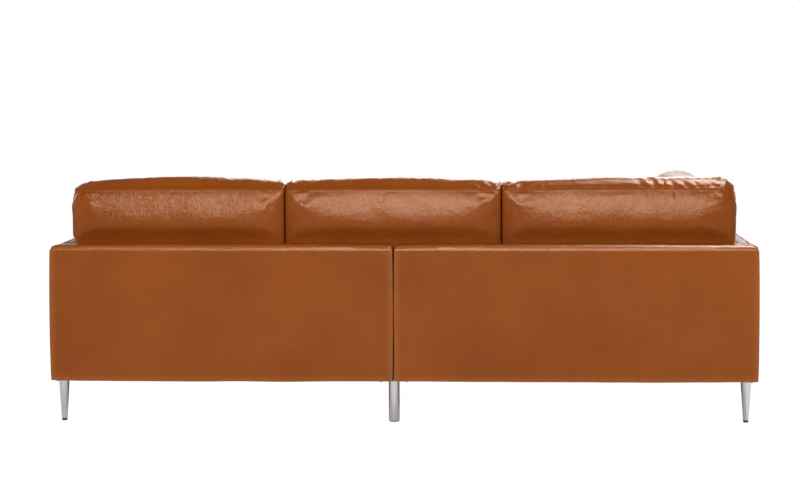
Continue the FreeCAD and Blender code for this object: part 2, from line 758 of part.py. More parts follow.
seat_wires = []
for limits in (SOFA_X, CENTRE_X):
    rows = spring_rows(number_of(f"{limits[0]} + {RAIL_IN}"), number_of(f"{limits[1]} - ({RAIL_IN})"))
    seat_wires += springs_between(rows, number_of(SEAT_Y[0]) + bar_inset,
                                  number_of(SEAT_Y[1]) - bar_inset, 0)
shaped("seat_springs", Part.makeCompound(seat_wires))
chaise_rows = spring_rows(number_of(f"{CHAISE_Y[0]} + {RAIL_IN}"),
                          number_of(f"{CHAISE_Y[1]} - ({RAIL_IN})"))
chaise_wires = springs_between(chaise_rows, number_of(CHAISE_X[0]) + bar_inset,
                               number_of(CHAISE_X[1]) - bar_inset, 90)
shaped("chaise_springs", Part.makeCompound(chaise_wires))
shaped("spring_clips", Part.makeCompound(clips))


# Cushions: a leather cover over a soft core, both from the same curves


def arc(start, middle, end):
    """An arc through three points."""
    return Part.Arc(start, middle, end).toShape()


def rounded_outline(corners, bows, radii, z):
    """A closed outline through square corners, each rounded, listed anticlockwise from above.

    bows says for the side after each corner how far its middle lies inwards, or outwards where
    the number is negative.
    """
    corners = [Vector(x, y, z) for x, y in corners]
    count = len(corners)
    ends = []
    for index, (corner, radius) in enumerate(zip(corners, radii)):
        back = (corners[index - 1] - corner).normalize()
        ahead = (corners[(index + 1) % count] - corner).normalize()
        on_arc = corner + (back + ahead) * radius * (1 - math.sqrt(0.5))
        ends.append((corner + back * radius, on_arc, corner + ahead * radius))
    edges = []
    for index, bow in enumerate(bows):
        entry, on_arc, leave = ends[index]
        arrive = ends[(index + 1) % count][0]
        edges.append(arc(entry, on_arc, leave))
        along = (arrive - leave).normalize()
        inwards = Vector(-along.y, along.x, 0)
        if bow:
            edges.append(arc(leave, (leave + arrive) * 0.5 + inwards * bow, arrive))
        else:
            edges.append(Part.makeLine(leave, arrive))
    return Part.Wire(edges)


# How far up each outline of a cushion's sides lies, and how much of the draw-in it has there
SIDE_LEVELS = ((0.0, 1.0), (0.12, 0.45), (0.5, 0.0), (0.88, 0.45), (1.0, 1.0))
# The crown's outlines: share of the half thickness that is taken in on each side
CROWN_SHARES = (0.0, 0.12, 0.35, 0.62, 0.88)
# Corner radius of the smallest outline, at the top of the crown
CROWN_CORNER = 2


def back_cushion_outline(width, rear, front, radius, bulge, draw, z):
    """One outline of a standing cushion: straight rear, drawn-in ends, a front that bulges."""
    right, left = -width / 2, width / 2
    corners = [(right, rear), (right, front), (left, front), (left, rear)]
    return rounded_outline(corners, (draw, -bulge, draw, 0), [radius] * 4, z)


def back_cushion_solid(width, thickness, seam, skin):
    """A standing cushion with its flat rear at y = 0, the front towards -Y, its foot at z = 0."""
    draw = number_of("cushion_draw")
    end_draw = number_of("cushion_end_draw")
    bulge = number_of("cushion_bulge")
    corner = number_of("cushion_corner") - skin
    rise = number_of("cushion_crown")
    sides = []
    for share, drawn in SIDE_LEVELS:
        inset = draw * drawn + skin
        swell = bulge * math.sin(math.pi * (0.1 + 0.8 * share))
        sides.append(back_cushion_outline(width - 2 * inset, -skin, -thickness + inset,
                                          corner + CROWN_CORNER, swell, end_draw,
                                          skin + share * (seam - skin)))
    body = Part.makeLoft(sides, True, False)
    crown = []
    seam_depth = thickness - draw - 2 * skin
    for share in CROWN_SHARES:
        taken = share * seam_depth / 2
        lift = (rise - skin) * math.sqrt(1 - (1 - share) ** 2)
        swell = bulge * math.sin(math.pi * 0.9) * (1 - share)
        crown.append(back_cushion_outline(width - 2 * (draw + skin + taken), -skin - taken,
                                          -thickness + draw + skin + taken,
                                          corner * (1 - share) + CROWN_CORNER, swell,
                                          end_draw * (1 - share), seam + lift))
    return body.fuse(Part.makeLoft(crown, True, False))


def seat_outline(width, depth, inset, skin, ear, notch):
    """Corners of a lying cushion, with an ear on the right in front of an arm if it has one."""
    right, left = inset - width / 2, width / 2 - inset
    rear, front = -skin, inset - depth
    corners = [(right, rear)]
    if ear:
        corners += [(right, -notch - inset), (right - ear, -notch - inset), (right - ear, front)]
    else:
        corners += [(right, front)]
    return corners + [(left, front), (left, rear)]


# How a seat's crown falls to the front: share of the way, and share of the fall
CROWN_FALL = ((0.0, 0.0), (0.25, 0.03), (0.5, 0.13), (0.75, 0.38), (0.92, 0.7), (1.0, 0.93))
# How much of its fall a seat's crown has across its width, and the fall that the flat part has
CROWN_ACROSS = 0.4
CROWN_FLAT = 0.2
CROWN_STEP = 0.5


def seat_rib(y, right, left, low, top, fall):
    """A crown's outline across a seat: rounded at both sides, with a shallow arc on top."""
    shoulder = top - fall
    reach = number_of("crown_shoulder")
    drop = shoulder - low - 1
    # The shoulder is an arc that runs out level
    bend_radius = (reach ** 2 + drop ** 2) / (2 * drop)
    half_turn = math.atan2(reach, bend_radius - drop) / 2
    across = reach - bend_radius * math.sin(half_turn)
    down = bend_radius * (1 - math.cos(half_turn))

    def point(x, z):
        return Vector(x, y, z)

    def shoulder_arc(side, inwards):
        return arc(point(side, low + 1), point(side + inwards * across, shoulder - down),
                   point(side + inwards * reach, shoulder))

    return Part.Wire(Part.__sortEdges__([
        Part.makeLine(point(left, low), point(right, low)),
        Part.makeLine(point(right, low), point(right, low + 1)),
        shoulder_arc(right, 1),
        arc(point(right + reach, shoulder), point((right + left) / 2, top), point(left - reach, shoulder)),
        shoulder_arc(left, -1),
        Part.makeLine(point(left, low + 1), point(left, low)),
    ]))


def seat_cushion_solid(width, depth, flat_depth, skin, ear=0.0, notch=0.0):
    """A lying cushion: its rear at y = 0, its front towards -Y, its flat foot at z = 0.

    Its top is flat as far as flat_depth, where other cushions rest on it, and falls from there
    to its front edge.
    """
    draw = number_of("seat_draw")
    corner = number_of("cushion_corner") - skin
    notch_corner = number_of("notch_corner") + skin
    height = number_of("seat_thickness")
    rise = number_of("seat_crown")
    rim = number_of("crown_rim")
    seam = height - rise - skin
    sides = []
    for share, drawn in SIDE_LEVELS:
        corners = seat_outline(width, depth, draw * drawn + skin, skin, ear, notch)
        bows = [draw] * (len(corners) - 1) + [0]
        radii = [corner, notch_corner if ear else corner] + [corner] * (len(corners) - 2)
        sides.append(rounded_outline(corners, bows, radii, skin + share * (seam - skin)))
    body = Part.makeLoft(sides, True, False)
    right = draw + skin + rim - width / 2
    left = width / 2 - draw - skin - rim
    low = seam - 1
    top = height - skin
    start = -rim - skin
    # With an ear the crown's front part begins inside the flat part, a hair lower and narrower
    step = CROWN_STEP if ear else 0.0
    crown_start = -notch - draw - rim - skin if ear else -flat_depth
    flat_end = skin - notch - draw - 2 * rim if ear else crown_start
    flat_face = Part.Face(seat_rib(start, right, left, low, top, CROWN_FLAT))
    flat = flat_face.extrude(Vector(0, flat_end - start, 0))
    crown_end = rim + draw + skin - depth
    ribs = []
    for way, share in CROWN_FALL:
        across = CROWN_FLAT + CROWN_ACROSS * (rise - 2) * share
        ribs.append(seat_rib(crown_start + way * (crown_end - crown_start), right - ear, left - step, low,
                             top - step - (rise - 2) * share * (1 - CROWN_ACROSS), across))
    return body.fuse(flat).fuse(Part.makeLoft(ribs, True, False))


def cushion(name, make, x, y, z, turn=0):
    """A cushion's cover and core in their place: the cover is the outer form less its inside."""
    leather = number_of("cushion_leather")
    outer = make(0.0)
    room = make(leather)
    core = make(leather + number_of("nest_gap"))
    for piece_name, shape in ((f"{name}_cover", outer.cut(room)), (f"{name}_core", core)):
        feature = shaped(piece_name, shape)
        feature.Placement.Rotation = FreeCAD.Rotation(Vector(0, 0, 1), turn)
        place(feature, x, y, z)


SEAT_GAP = "cushion_gap / 2"
Z_SEAT_FOOT = f"({Z_DECK} + rest_gap)"
Z_SEAT_TOP = f"({Z_SEAT_FOOT} + seat_thickness)"
Z_BACK_FOOT = f"({Z_SEAT_TOP} + rest_gap)"
Y_CUSHION_REAR = f"({Y_BACK_FACE} - side_clearance)"
FLAT_DEPTH = "(back_cushion_thickness + cushion_bulge + side_cushion_gap)"

end_x = (f"{X_SEAT_SPLIT} + {SEAT_GAP}", f"{X_ARM_LEFT} - side_clearance")
middle_x = (f"{X_CHAISE_INNER} + {SEAT_GAP}", f"{X_SEAT_SPLIT} - {SEAT_GAP}")
corner_x = (f"{X_ARM_RIGHT} + side_clearance", f"{X_CHAISE_INNER} - {SEAT_GAP}")


def width_of(limits):
    """The width between two limits."""
    return number_of(f"({limits[1]}) - ({limits[0]})")


def middle_of(limits):
    """The formula of the middle between two limits."""
    return f"(({limits[0]}) + ({limits[1]})) / 2"


def back_cushion(name, limits):
    """One of the three cushions that stand against the back."""
    width = width_of(limits)
    thickness = number_of("back_cushion_thickness")
    seam = number_of("back_cushion_seam")
    cushion(name, lambda skin: back_cushion_solid(width, thickness, seam, skin),
            middle_of(limits), Y_CUSHION_REAR, Z_BACK_FOOT)


back_cushion("end_back_cushion", end_x)
back_cushion("middle_back_cushion", middle_x)
back_cushion("corner_back_cushion", corner_x)

flat_depth = number_of(FLAT_DEPTH)
seat_depth = number_of("sofa_depth - back_thickness - side_clearance - seat_front_inset")
chaise_length = number_of("chaise_depth - back_thickness - side_clearance - seat_front_inset")


def seat_cushion(name, limits):
    """One of the two seat cushions."""
    width = width_of(limits)
    cushion(name, lambda skin: seat_cushion_solid(width, seat_depth, flat_depth, skin),
            middle_of(limits), Y_CUSHION_REAR, Z_SEAT_FOOT)


seat_cushion("end_seat_cushion", end_x)
seat_cushion("middle_seat_cushion", middle_x)

# The chaise cushion is as wide as its base in front of the arm
chaise_width = width_of(corner_x)
chaise_ear = number_of("arm_thickness + side_clearance - seat_front_inset")
chaise_notch = number_of("chaise_arm_length")
cushion("chaise_cushion",
        lambda skin: seat_cushion_solid(chaise_width, chaise_length, flat_depth, skin,
                                        chaise_ear, chaise_notch),
        middle_of(corner_x), Y_CUSHION_REAR, Z_SEAT_FOOT)

# The side cushion leans on the chaise arm, in front of the corner back cushion
side_rear_y = f"({Y_CUSHION_REAR} - {FLAT_DEPTH})"
side_length = number_of("side_cushion_length")
side_thickness = number_of("side_cushion_thickness")
side_seam = number_of("side_cushion_seam")
cushion("side_cushion",
        lambda skin: back_cushion_solid(side_length, side_thickness, side_seam, skin),
        f"{X_ARM_RIGHT} + side_clearance", f"{side_rear_y} - side_cushion_length / 2", Z_BACK_FOOT, 90)


# Check every object and every finished piece, then write the pieces

doc.recompute()
for thing in doc.Objects:
    if {"Invalid", "Error"} & set(thing.State):
        raise RuntimeError(f"{thing.Label} failed: {thing.State}")
os.makedirs("parts", exist_ok=True)
for piece in nodes:
    shape = piece.Shape
    if shape.isNull() or not shape.isValid():
        raise RuntimeError(f"{piece.Label} has no valid shape")
    shape.exportStep(f"parts/{piece.Label}.step")
    print(f"{piece.Label}: {len(shape.Solids)} solids, {shape.Volume / 1e6:.3f} litres")
print(f"{len(nodes)} pieces")
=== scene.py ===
# %% [markdown]
# # A leather corner sofa
# The sofa is two upholstered halves on slim metal legs, with loose cushions on top. Its measured
# model comes from CAD and is loaded here as a fixed frame. This notebook dresses that frame: the
# leather, the seams, the cushions' fill, the legs' polish, and then the floor, lamps and camera.

import json
import math

import bmesh
import bpy
import numpy as np
from mathutils import Matrix, Vector, noise
from mathutils.kdtree import KDTree


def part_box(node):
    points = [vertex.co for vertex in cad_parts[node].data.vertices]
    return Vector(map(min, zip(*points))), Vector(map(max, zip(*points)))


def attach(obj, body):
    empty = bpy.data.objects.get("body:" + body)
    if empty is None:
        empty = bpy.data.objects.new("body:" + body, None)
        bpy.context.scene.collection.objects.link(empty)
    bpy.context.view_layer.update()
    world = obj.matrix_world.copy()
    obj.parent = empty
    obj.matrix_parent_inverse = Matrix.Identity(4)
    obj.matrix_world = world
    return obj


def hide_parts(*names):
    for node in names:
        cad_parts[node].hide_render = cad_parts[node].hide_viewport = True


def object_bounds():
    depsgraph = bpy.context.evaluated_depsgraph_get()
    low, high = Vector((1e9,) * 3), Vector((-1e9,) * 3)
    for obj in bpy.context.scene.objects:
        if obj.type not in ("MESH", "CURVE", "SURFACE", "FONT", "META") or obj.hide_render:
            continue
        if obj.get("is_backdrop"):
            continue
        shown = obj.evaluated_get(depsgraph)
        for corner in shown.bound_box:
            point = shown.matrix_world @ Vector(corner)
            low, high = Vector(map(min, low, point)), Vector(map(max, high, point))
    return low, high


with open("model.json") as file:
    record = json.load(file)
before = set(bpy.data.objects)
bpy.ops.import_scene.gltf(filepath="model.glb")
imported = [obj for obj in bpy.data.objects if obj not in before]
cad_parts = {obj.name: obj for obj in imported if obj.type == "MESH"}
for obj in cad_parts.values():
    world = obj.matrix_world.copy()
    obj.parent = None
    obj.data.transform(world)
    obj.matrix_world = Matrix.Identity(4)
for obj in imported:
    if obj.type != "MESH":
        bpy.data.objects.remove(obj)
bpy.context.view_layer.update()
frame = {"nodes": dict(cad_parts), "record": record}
nodes = frame["nodes"]
MM = 0.001

# %% [markdown]
# ## Node trees as sums
# A material is a tree of nodes, and most of its nodes are arithmetic. Clicking them together by
# hand hides the formula. A small class that holds one socket and knows plus, minus and times lets
# the formula be read as it would be on paper.

# %% A socket that can be added and multiplied


class Wire:
    """One output socket of a material, with arithmetic that adds Math nodes."""

    def __init__(self, paint, socket):
        self.paint = paint
        self.socket = socket

    def math(self, operation, first, second):
        return self.paint.node("Math", {"operation": operation}, [first, second])

    def __add__(self, other):
        return self.math("ADD", self, other)

    def __radd__(self, other):
        return self.math("ADD", other, self)

    def __sub__(self, other):
        return self.math("SUBTRACT", self, other)

    def __rsub__(self, other):
        return self.math("SUBTRACT", other, self)

    def __mul__(self, other):
        return self.math("MULTIPLY", self, other)

    def __rmul__(self, other):
        return self.math("MULTIPLY", other, self)


class Paint:
    """A material under construction: one shader, and nodes made by one method."""

    def __init__(self, name, **constants):
        self.material = bpy.data.materials.new(name)
        self.material.use_nodes = True
        self.tree = self.material.node_tree
        self.shader = self.tree.nodes["Principled BSDF"]
        for socket, value in constants.items():
            self.shader.inputs[socket.replace("_", " ")].default_value = value

    def plug(self, socket, value):
        """Links a wire into an input, or sets a plain value there."""
        if isinstance(value, Wire):
            self.tree.links.new(value.socket, socket)
        else:
            socket.default_value = value

    def node(self, kind, settings=None, inputs=None, output=0):
        """A node with its settings made first, then its inputs by name or in order."""
        made = self.tree.nodes.new("ShaderNode" + kind)
        for key, value in (settings or {}).items():
            if key == "stops":
                ramp = made.color_ramp.elements
                while len(ramp) < len(value):
                    ramp.new(0.5)
                for element, (place, shade) in zip(ramp, value):
                    element.position = place
                    element.color = (shade, shade, shade, 1) if isinstance(shade, float) else shade
            else:
                setattr(made, key, value)
        pairs = inputs.items() if isinstance(inputs, dict) else enumerate(inputs or [])
        for key, value in pairs:
            self.plug(made.inputs[key], value)
        return Wire(self, made.outputs[output])

    def place(self):
        """The point of the surface in the object's own space, in metres."""
        return self.node("TexCoord", output="Object")

    def stored(self, name):
        """A number that was kept on the mesh's points."""
        return self.node("Attribute", {"attribute_name": name}, output="Fac")

    def stretched(self, scale):
        """The object's space, scaled along each axis."""
        return self.node("Mapping", None, {"Vector": self.place(), "Scale": scale})

    def clouds(self, scale, detail=2.0, roughness=0.5, where=None):
        """Soft noise between 0 and 1."""
        settings = {"Vector": where or self.place(), "Scale": scale, "Detail": detail,
                    "Roughness": roughness}
        return self.node("TexNoise", None, settings, "Fac")

    def cells(self, scale):
        """Distance to the nearest cell centre."""
        inputs = {"Vector": self.place(), "Scale": scale}
        return self.node("TexVoronoi", None, inputs, "Distance")

    def ramp(self, value, stops):
        """A value sent through stops of (place, shade)."""
        return self.node("ValToRGB", {"stops": stops}, [value])

    def blend(self, share, first, second):
        """A mix of two colours by a share."""
        return self.node("Mix", {"data_type": "RGBA"}, {0: share, 6: first, 7: second}, 2)

    def relief(self, heights):
        """Bumps one after another, each a (height wire, depth in metres) pair."""
        bump = None
        for height, depth in heights:
            inputs = {"Height": height, "Distance": depth, "Strength": 1.0}
            if bump is not None:
                inputs["Normal"] = bump
            bump = self.node("Bump", None, inputs, "Normal")
        self.plug(self.shader.inputs["Normal"], bump)

    def coat(self, **wires):
        """Feeds wires into the shader's inputs, named with underscores."""
        for socket, value in wires.items():
            self.plug(self.shader.inputs[socket.replace("_", " ")], value)
        return self.material


print("a paint makes its nodes by one method")

# %% [markdown]
# ## Leather
# The sofa wears a smooth saddle-tan leather with a fine pebbled grain and a soft shine. Three
# things make leather: grain that breaks up the highlight, colour that drifts a little over the
# hide, and seams. A seam's valley is painted darker, partly painted shade and partly dirt. The
# cushions' rims are painted paler, partly wear and partly a painted highlight, and the rounded
# edges are paler from wear. Grain and drift come from noise. The seams need a number that is
# stored on the mesh, because only the mesh knows where its seams are.

# %% Leather
TAN = (0.285, 0.066, 0.006, 1)
TAN_DEEP = (0.185, 0.036, 0.003, 1)
TAN_WEAR_AND_HIGHLIGHT = (0.42, 0.145, 0.040, 1)


def leather_paint():
    """Saddle-tan leather: grain, drift, painted shade and dirt in seams, wear and a painted
    highlight on rims.
    """
    paint = Paint("saddle_leather", IOR=1.45, Coat_Roughness=0.2, Specular_IOR_Level=0.5,
                  Specular_Tint=(1.0, 0.70, 0.47, 1))
    drift = paint.clouds(3.1, 3.0)
    flecks = paint.clouds(150.0, 2.0, 0.7)
    pebbles = paint.cells(420.0)
    creases = paint.clouds(46.0, 4.0, 0.6)
    seam = paint.stored("seam")
    worn = paint.stored("worn")
    deep = paint.ramp(drift + (flecks - 0.5) * 0.5, [(0.30, 0.0), (0.75, 0.55)])
    hide = paint.blend(deep, TAN, TAN_DEEP)
    # Paler on edges, crests and rims: partly wear, partly a painted highlight along the cushions'
    # rims.
    rubbed_and_highlit = paint.blend(worn * paint.ramp(creases, [(0.3, 0.45), (0.7, 1.0)]), hide, TAN_WEAR_AND_HIGHLIGHT)
    # Darker in the seams' valley: painted shade, with some dirt.
    colour = paint.blend(seam, rubbed_and_highlit, TAN_DEEP)
    shine = 0.17 + drift * 0.08 + (flecks - 0.5) * 0.14 + seam * 0.12
    paint.relief([(creases, 0.0017), (pebbles, 0.00022), (flecks, 0.0007)])
    return paint.coat(Base_Color=colour, Roughness=shine, Coat_Weight=0.03 + worn * 0.2)


leather = leather_paint()
print("leather:", len(leather.node_tree.nodes), "nodes")

# %% [markdown]
# ## Metal, plastic, wood and cloth
# The legs are brushed and polished steel, so their shine is stretched along the leg. Their caps
# are black plastic. The inside holds timber, plywood, foam and cloth that show only when a cushion
# is lifted, yet each has its own grain or weave, because a part is looked at from every side.

# %% Metal and plastic


def metal_paint(name, colour, roughness, lines):
    """Metal that is brushed along its length."""
    paint = Paint(name, Metallic=1.0)
    brush = paint.clouds(60.0, 3.0, 0.6, paint.stretched((14.0, 14.0, lines)))
    smear = paint.clouds(9.0, 2.0)
    shade = paint.blend(brush * 0.35 + smear * 0.2, colour, (0.45, 0.45, 0.46, 1))
    paint.relief([(brush, 0.00008)])
    return paint.coat(Base_Color=shade, Roughness=roughness + (brush - 0.5) * 0.12 + smear * 0.06)


def plastic_paint(name, colour):
    """Moulded plastic with a fine matt texture."""
    paint = Paint(name)
    grain = paint.clouds(900.0, 2.0)
    dust = paint.clouds(35.0, 3.0)
    shade = paint.blend(dust * 0.3, colour, (0.06, 0.058, 0.055, 1))
    paint.relief([(grain, 0.00012)])
    return paint.coat(Base_Color=shade, Roughness=0.55 + grain * 0.2)


leg_metal = metal_paint("polished_legs", (0.94, 0.93, 0.91, 1), 0.15, 0.6)
plate_steel = metal_paint("plate_steel", (0.52, 0.52, 0.53, 1), 0.38, 6.0)
spring_steel = metal_paint("spring_steel", (0.32, 0.32, 0.33, 1), 0.34, 14.0)
black_plastic = plastic_paint("black_caps", (0.014, 0.014, 0.015, 1))
print("metals:", leg_metal.name, plate_steel.name, spring_steel.name)

# %% Wood


def wood_paint(name, pale, dark, ring_scale, stripes):
    """Sawn timber: rings drawn out along the grain, with fine pores."""
    paint = Paint(name)
    long_way = paint.stretched(stripes)
    rings = paint.clouds(ring_scale, 4.0, 0.6, long_way)
    pores = paint.clouds(ring_scale * 9, 2.0, 0.6, long_way)
    colour = paint.blend(paint.ramp(rings, [(0.35, 0.0), (0.65, 1.0)]), pale, dark)
    paint.relief([(rings, 0.0006), (pores, 0.0003)])
    return paint.coat(Base_Color=colour, Roughness=0.62 + pores * 0.18)


timber = wood_paint("sawn_timber", (0.60, 0.40, 0.20, 1), (0.40, 0.23, 0.10, 1), 30.0,
                    (0.25, 1.5, 1.5))
plywood = wood_paint("plywood", (0.64, 0.46, 0.26, 1), (0.44, 0.28, 0.13, 1), 22.0,
                     (3.0, 0.3, 1.2))
print("woods:", timber.name, plywood.name)

# %% Cloth


def cloth_paint(name, colour, shade, threads):
    """Plain woven cloth: one set of threads along each axis, so that every side shows two."""
    paint = Paint(name, Sheen_Weight=0.15)
    across, along, upright = [
        paint.node("TexWave", {"bands_direction": axis},
                   {"Vector": paint.place(), "Scale": threads}, "Fac") for axis in "XYZ"]
    weave = (across + along + upright) * 0.4
    fibres = paint.clouds(700.0, 3.0, 0.7)
    paint.relief([(weave, 0.0005), (fibres, 0.0003)])
    return paint.coat(Base_Color=paint.blend(weave * 0.5 + fibres * 0.5, shade, colour),
                      Roughness=0.9 + (fibres - 0.5) * 0.1)


def foam_paint(name, colour, shade):
    """Open foam and wadding: fine cells and slow yellowing."""
    paint = Paint(name)
    pores = paint.cells(600.0)
    stain = paint.clouds(5.0, 3.0)
    paint.relief([(pores, 0.0006)])
    yellowed = paint.blend(stain * 0.7 + pores * 0.2, colour, shade)
    return paint.coat(Base_Color=yellowed, Roughness=0.95)


webbing = cloth_paint("elastic_webbing", (0.20, 0.16, 0.11, 1), (0.09, 0.07, 0.05, 1), 150.0)
deck_fabric = cloth_paint("deck_fabric", (0.055, 0.043, 0.036, 1), (0.022, 0.018, 0.016, 1),
                          220.0)
dust_fabric = cloth_paint("dust_fabric", (0.022, 0.022, 0.023, 1), (0.008, 0.008, 0.009, 1),
                          300.0)
wadding = foam_paint("wadding", (0.78, 0.76, 0.70, 1), (0.66, 0.60, 0.46, 1))
cushion_fill = foam_paint("cushion_fill", (0.82, 0.81, 0.78, 1), (0.72, 0.70, 0.64, 1))
print("cloths and foams:", webbing.name, deck_fabric.name, dust_fabric.name, wadding.name)

# %% Every piece of the CAD frame gets its own finish
FINISHES = {
    "leather": leather, "cushion_fill": cushion_fill, "padding": wadding, "timber": timber,
    "plywood": plywood, "webbing": webbing, "deck_cloth": deck_fabric, "dust_cloth": dust_fabric,
    "spring_steel": spring_steel, "leg_metal": leg_metal, "plate_steel": plate_steel,
    "black_plastic": black_plastic,
}
for subpart in frame["record"]["subparts"]:
    thing = nodes[subpart["node"]]
    thing.data.materials.clear()
    thing.data.materials.append(FINISHES[subpart["material_slot"]])
print("pieces of the measured model:", len(nodes))

# %% [markdown]
# ## Modelling by hand, in code
# Each piece starts as a primitive and is then shaped in edit mode. An operator acts on whatever is
# selected, so the helpers here deselect everything first and select faces and edges by where they
# are. A piece's object stays at the origin, and its place is in its mesh.

# %% Helpers for edit mode
SHARP_DEGREES = 50


def clear_selection():
    bpy.ops.object.select_all(action="DESELECT")


def pick(thing):
    """Selects one piece alone and makes it the active one."""
    clear_selection()
    thing.select_set(True)
    bpy.context.view_layer.objects.active = thing


def open_edit(thing):
    """Enters edit mode on one piece with nothing selected."""
    pick(thing)
    bpy.ops.object.mode_set(mode="EDIT")
    bpy.ops.mesh.select_all(action="DESELECT")
    return bmesh.from_edit_mesh(thing.data)


def close_edit():
    bpy.ops.object.mode_set(mode="OBJECT")


def pick_edges(thing, test):
    """Selects the edges whose two ends both pass a test."""
    mesh = bmesh.from_edit_mesh(thing.data)
    bpy.ops.mesh.select_mode(type="EDGE")
    for edge in mesh.edges:
        edge.select = all(test(vert.co) for vert in edge.verts)
    bmesh.update_edit_mesh(thing.data)


def pick_faces(thing, test):
    """Selects the faces whose centre and normal pass a test."""
    mesh = bmesh.from_edit_mesh(thing.data)
    bpy.ops.mesh.select_mode(type="FACE")
    for face in mesh.faces:
        face.select = test(face.calc_center_median(), face.normal)
    mesh.select_flush(True)
    bmesh.update_edit_mesh(thing.data)


def apply_modifier(thing, kind, **settings):
    """Adds a modifier, sets it and applies it."""
    pick(thing)
    modifier = thing.modifiers.new(kind.lower(), kind)
    for key, value in settings.items():
        setattr(modifier, key, value)
    bpy.ops.object.modifier_apply(modifier=modifier.name)


def block(name, low, high):
    """A cube primitive stretched between two corners, with its object at the origin."""
    low, high = Vector(low), Vector(high)
    clear_selection()
    bpy.ops.mesh.primitive_cube_add(size=1)
    thing = bpy.context.object
    thing.name = name
    thing.data.name = name
    bpy.ops.object.mode_set(mode="EDIT")
    bpy.ops.mesh.select_all(action="SELECT")
    bpy.ops.transform.resize(value=high - low)
    bpy.ops.transform.translate(value=(low + high) / 2)
    close_edit()
    return thing


def slice_at(thing, axis, levels):
    """Cuts a loop of edges round the whole piece at each level along one axis."""
    open_edit(thing)
    normal = [0, 0, 0]
    normal[axis] = 1
    for level in levels:
        spot = [0, 0, 0]
        spot[axis] = level
        bpy.ops.mesh.select_all(action="SELECT")
        bpy.ops.mesh.bisect(plane_co=spot, plane_no=normal)
    close_edit()


def levels_between(low, high, step):
    """Evenly spaced levels strictly between two ends, about one step apart."""
    count = max(2, round((high - low) / step))
    return [low + (high - low) * index / count for index in range(1, count)]


def points_of(thing):
    """All points of a mesh as one array."""
    points = np.zeros(len(thing.data.vertices) * 3)
    thing.data.vertices.foreach_get("co", points)
    return points.reshape(-1, 3)


def set_points(thing, points):
    thing.data.vertices.foreach_set("co", points.ravel())
    thing.data.update()


def spread(thing, values, held, rounds):
    """Averages each point's value with its neighbours' again and again, except at held points."""
    ends = np.zeros(len(thing.data.edges) * 2, dtype=np.int32)
    thing.data.edges.foreach_get("vertices", ends)
    first, second = ends.reshape(-1, 2).T
    degree = np.bincount(ends, minlength=len(values))[:, None]
    for _ in range(rounds):
        total = np.zeros_like(values)
        np.add.at(total, first, values[second])
        np.add.at(total, second, values[first])
        values = np.where(held[:, None], values, (values + total / degree) / 2)
    return values


def normals_of(thing):
    normals = np.zeros(len(thing.data.vertices) * 3)
    thing.data.vertex_normals.foreach_get("vector", normals)
    return normals.reshape(-1, 3)


def store(thing, name, values):
    """Keeps one number per point on the mesh, where a material can read it."""
    attribute = thing.data.attributes.new(name, "FLOAT", "POINT")
    attribute.data.foreach_set("value", np.clip(values, 0, 1).astype(np.float32))


def waves(points, scale, seed):
    """Smooth noise of about -1 to 1 at each point."""
    shift = Vector((seed * 17.3, seed * 5.1, seed * 9.7))
    return np.array([noise.noise(Vector(point) / scale + shift) for point in points])


def smooth(value, low, high):
    """0 below low, 1 above high, and a soft step between."""
    share = np.clip((value - low) / (high - low), 0, 1)
    return share * share * (3 - 2 * share)


def finish_piece(thing, material, body, replaced):
    """Smooth shading, one finish, and the frame's body that the piece rides on."""
    pick(thing)
    bpy.ops.object.shade_smooth_by_angle(angle=math.radians(SHARP_DEGREES))
    thing.data.materials.clear()
    thing.data.materials.append(material)
    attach(thing, body)
    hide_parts(*replaced)
    print(f"{thing.name}: {len(thing.data.polygons)} faces")


print("helpers ready")

# %% [markdown]
# ## Backs, arms and bases
# These are timber boxes under foam and leather. Real ones are nearly flat, but never quite: the
# leather swells a few millimetres between its seams, its corners are rounded by the foam, and its
# lower edge, which is stapled under the rail, wavers. Each starts as a cube. Its corners are
# bevelled, loops are cut where the seams run, and then the points move by small sums of waves.

# %% One padded leather box
SEAM_HALF = 3.2 * MM
SEAM_DEPTH = 2.2 * MM
LIP_HALF = 9 * MM
LIP_HEIGHT = 0.9 * MM
BOX_STEP = 22 * MM
HIDE_WAVE = 0.7 * MM


def seam_profile(distance):
    """How far the leather lies in or out beside a seam, by the distance from it."""
    valley = -SEAM_DEPTH * np.exp(-((distance / SEAM_HALF) ** 2))
    return valley + LIP_HEIGHT * np.exp(-(((abs(distance) - LIP_HALF) / SEAM_HALF) ** 2))


def seam_loops(level):
    """Loops close to a seam, so that its valley has points to bend at."""
    return [level + side * MM for side in (-13, -9, -5, -2.5, 0, 2.5, 5, 9, 13)]


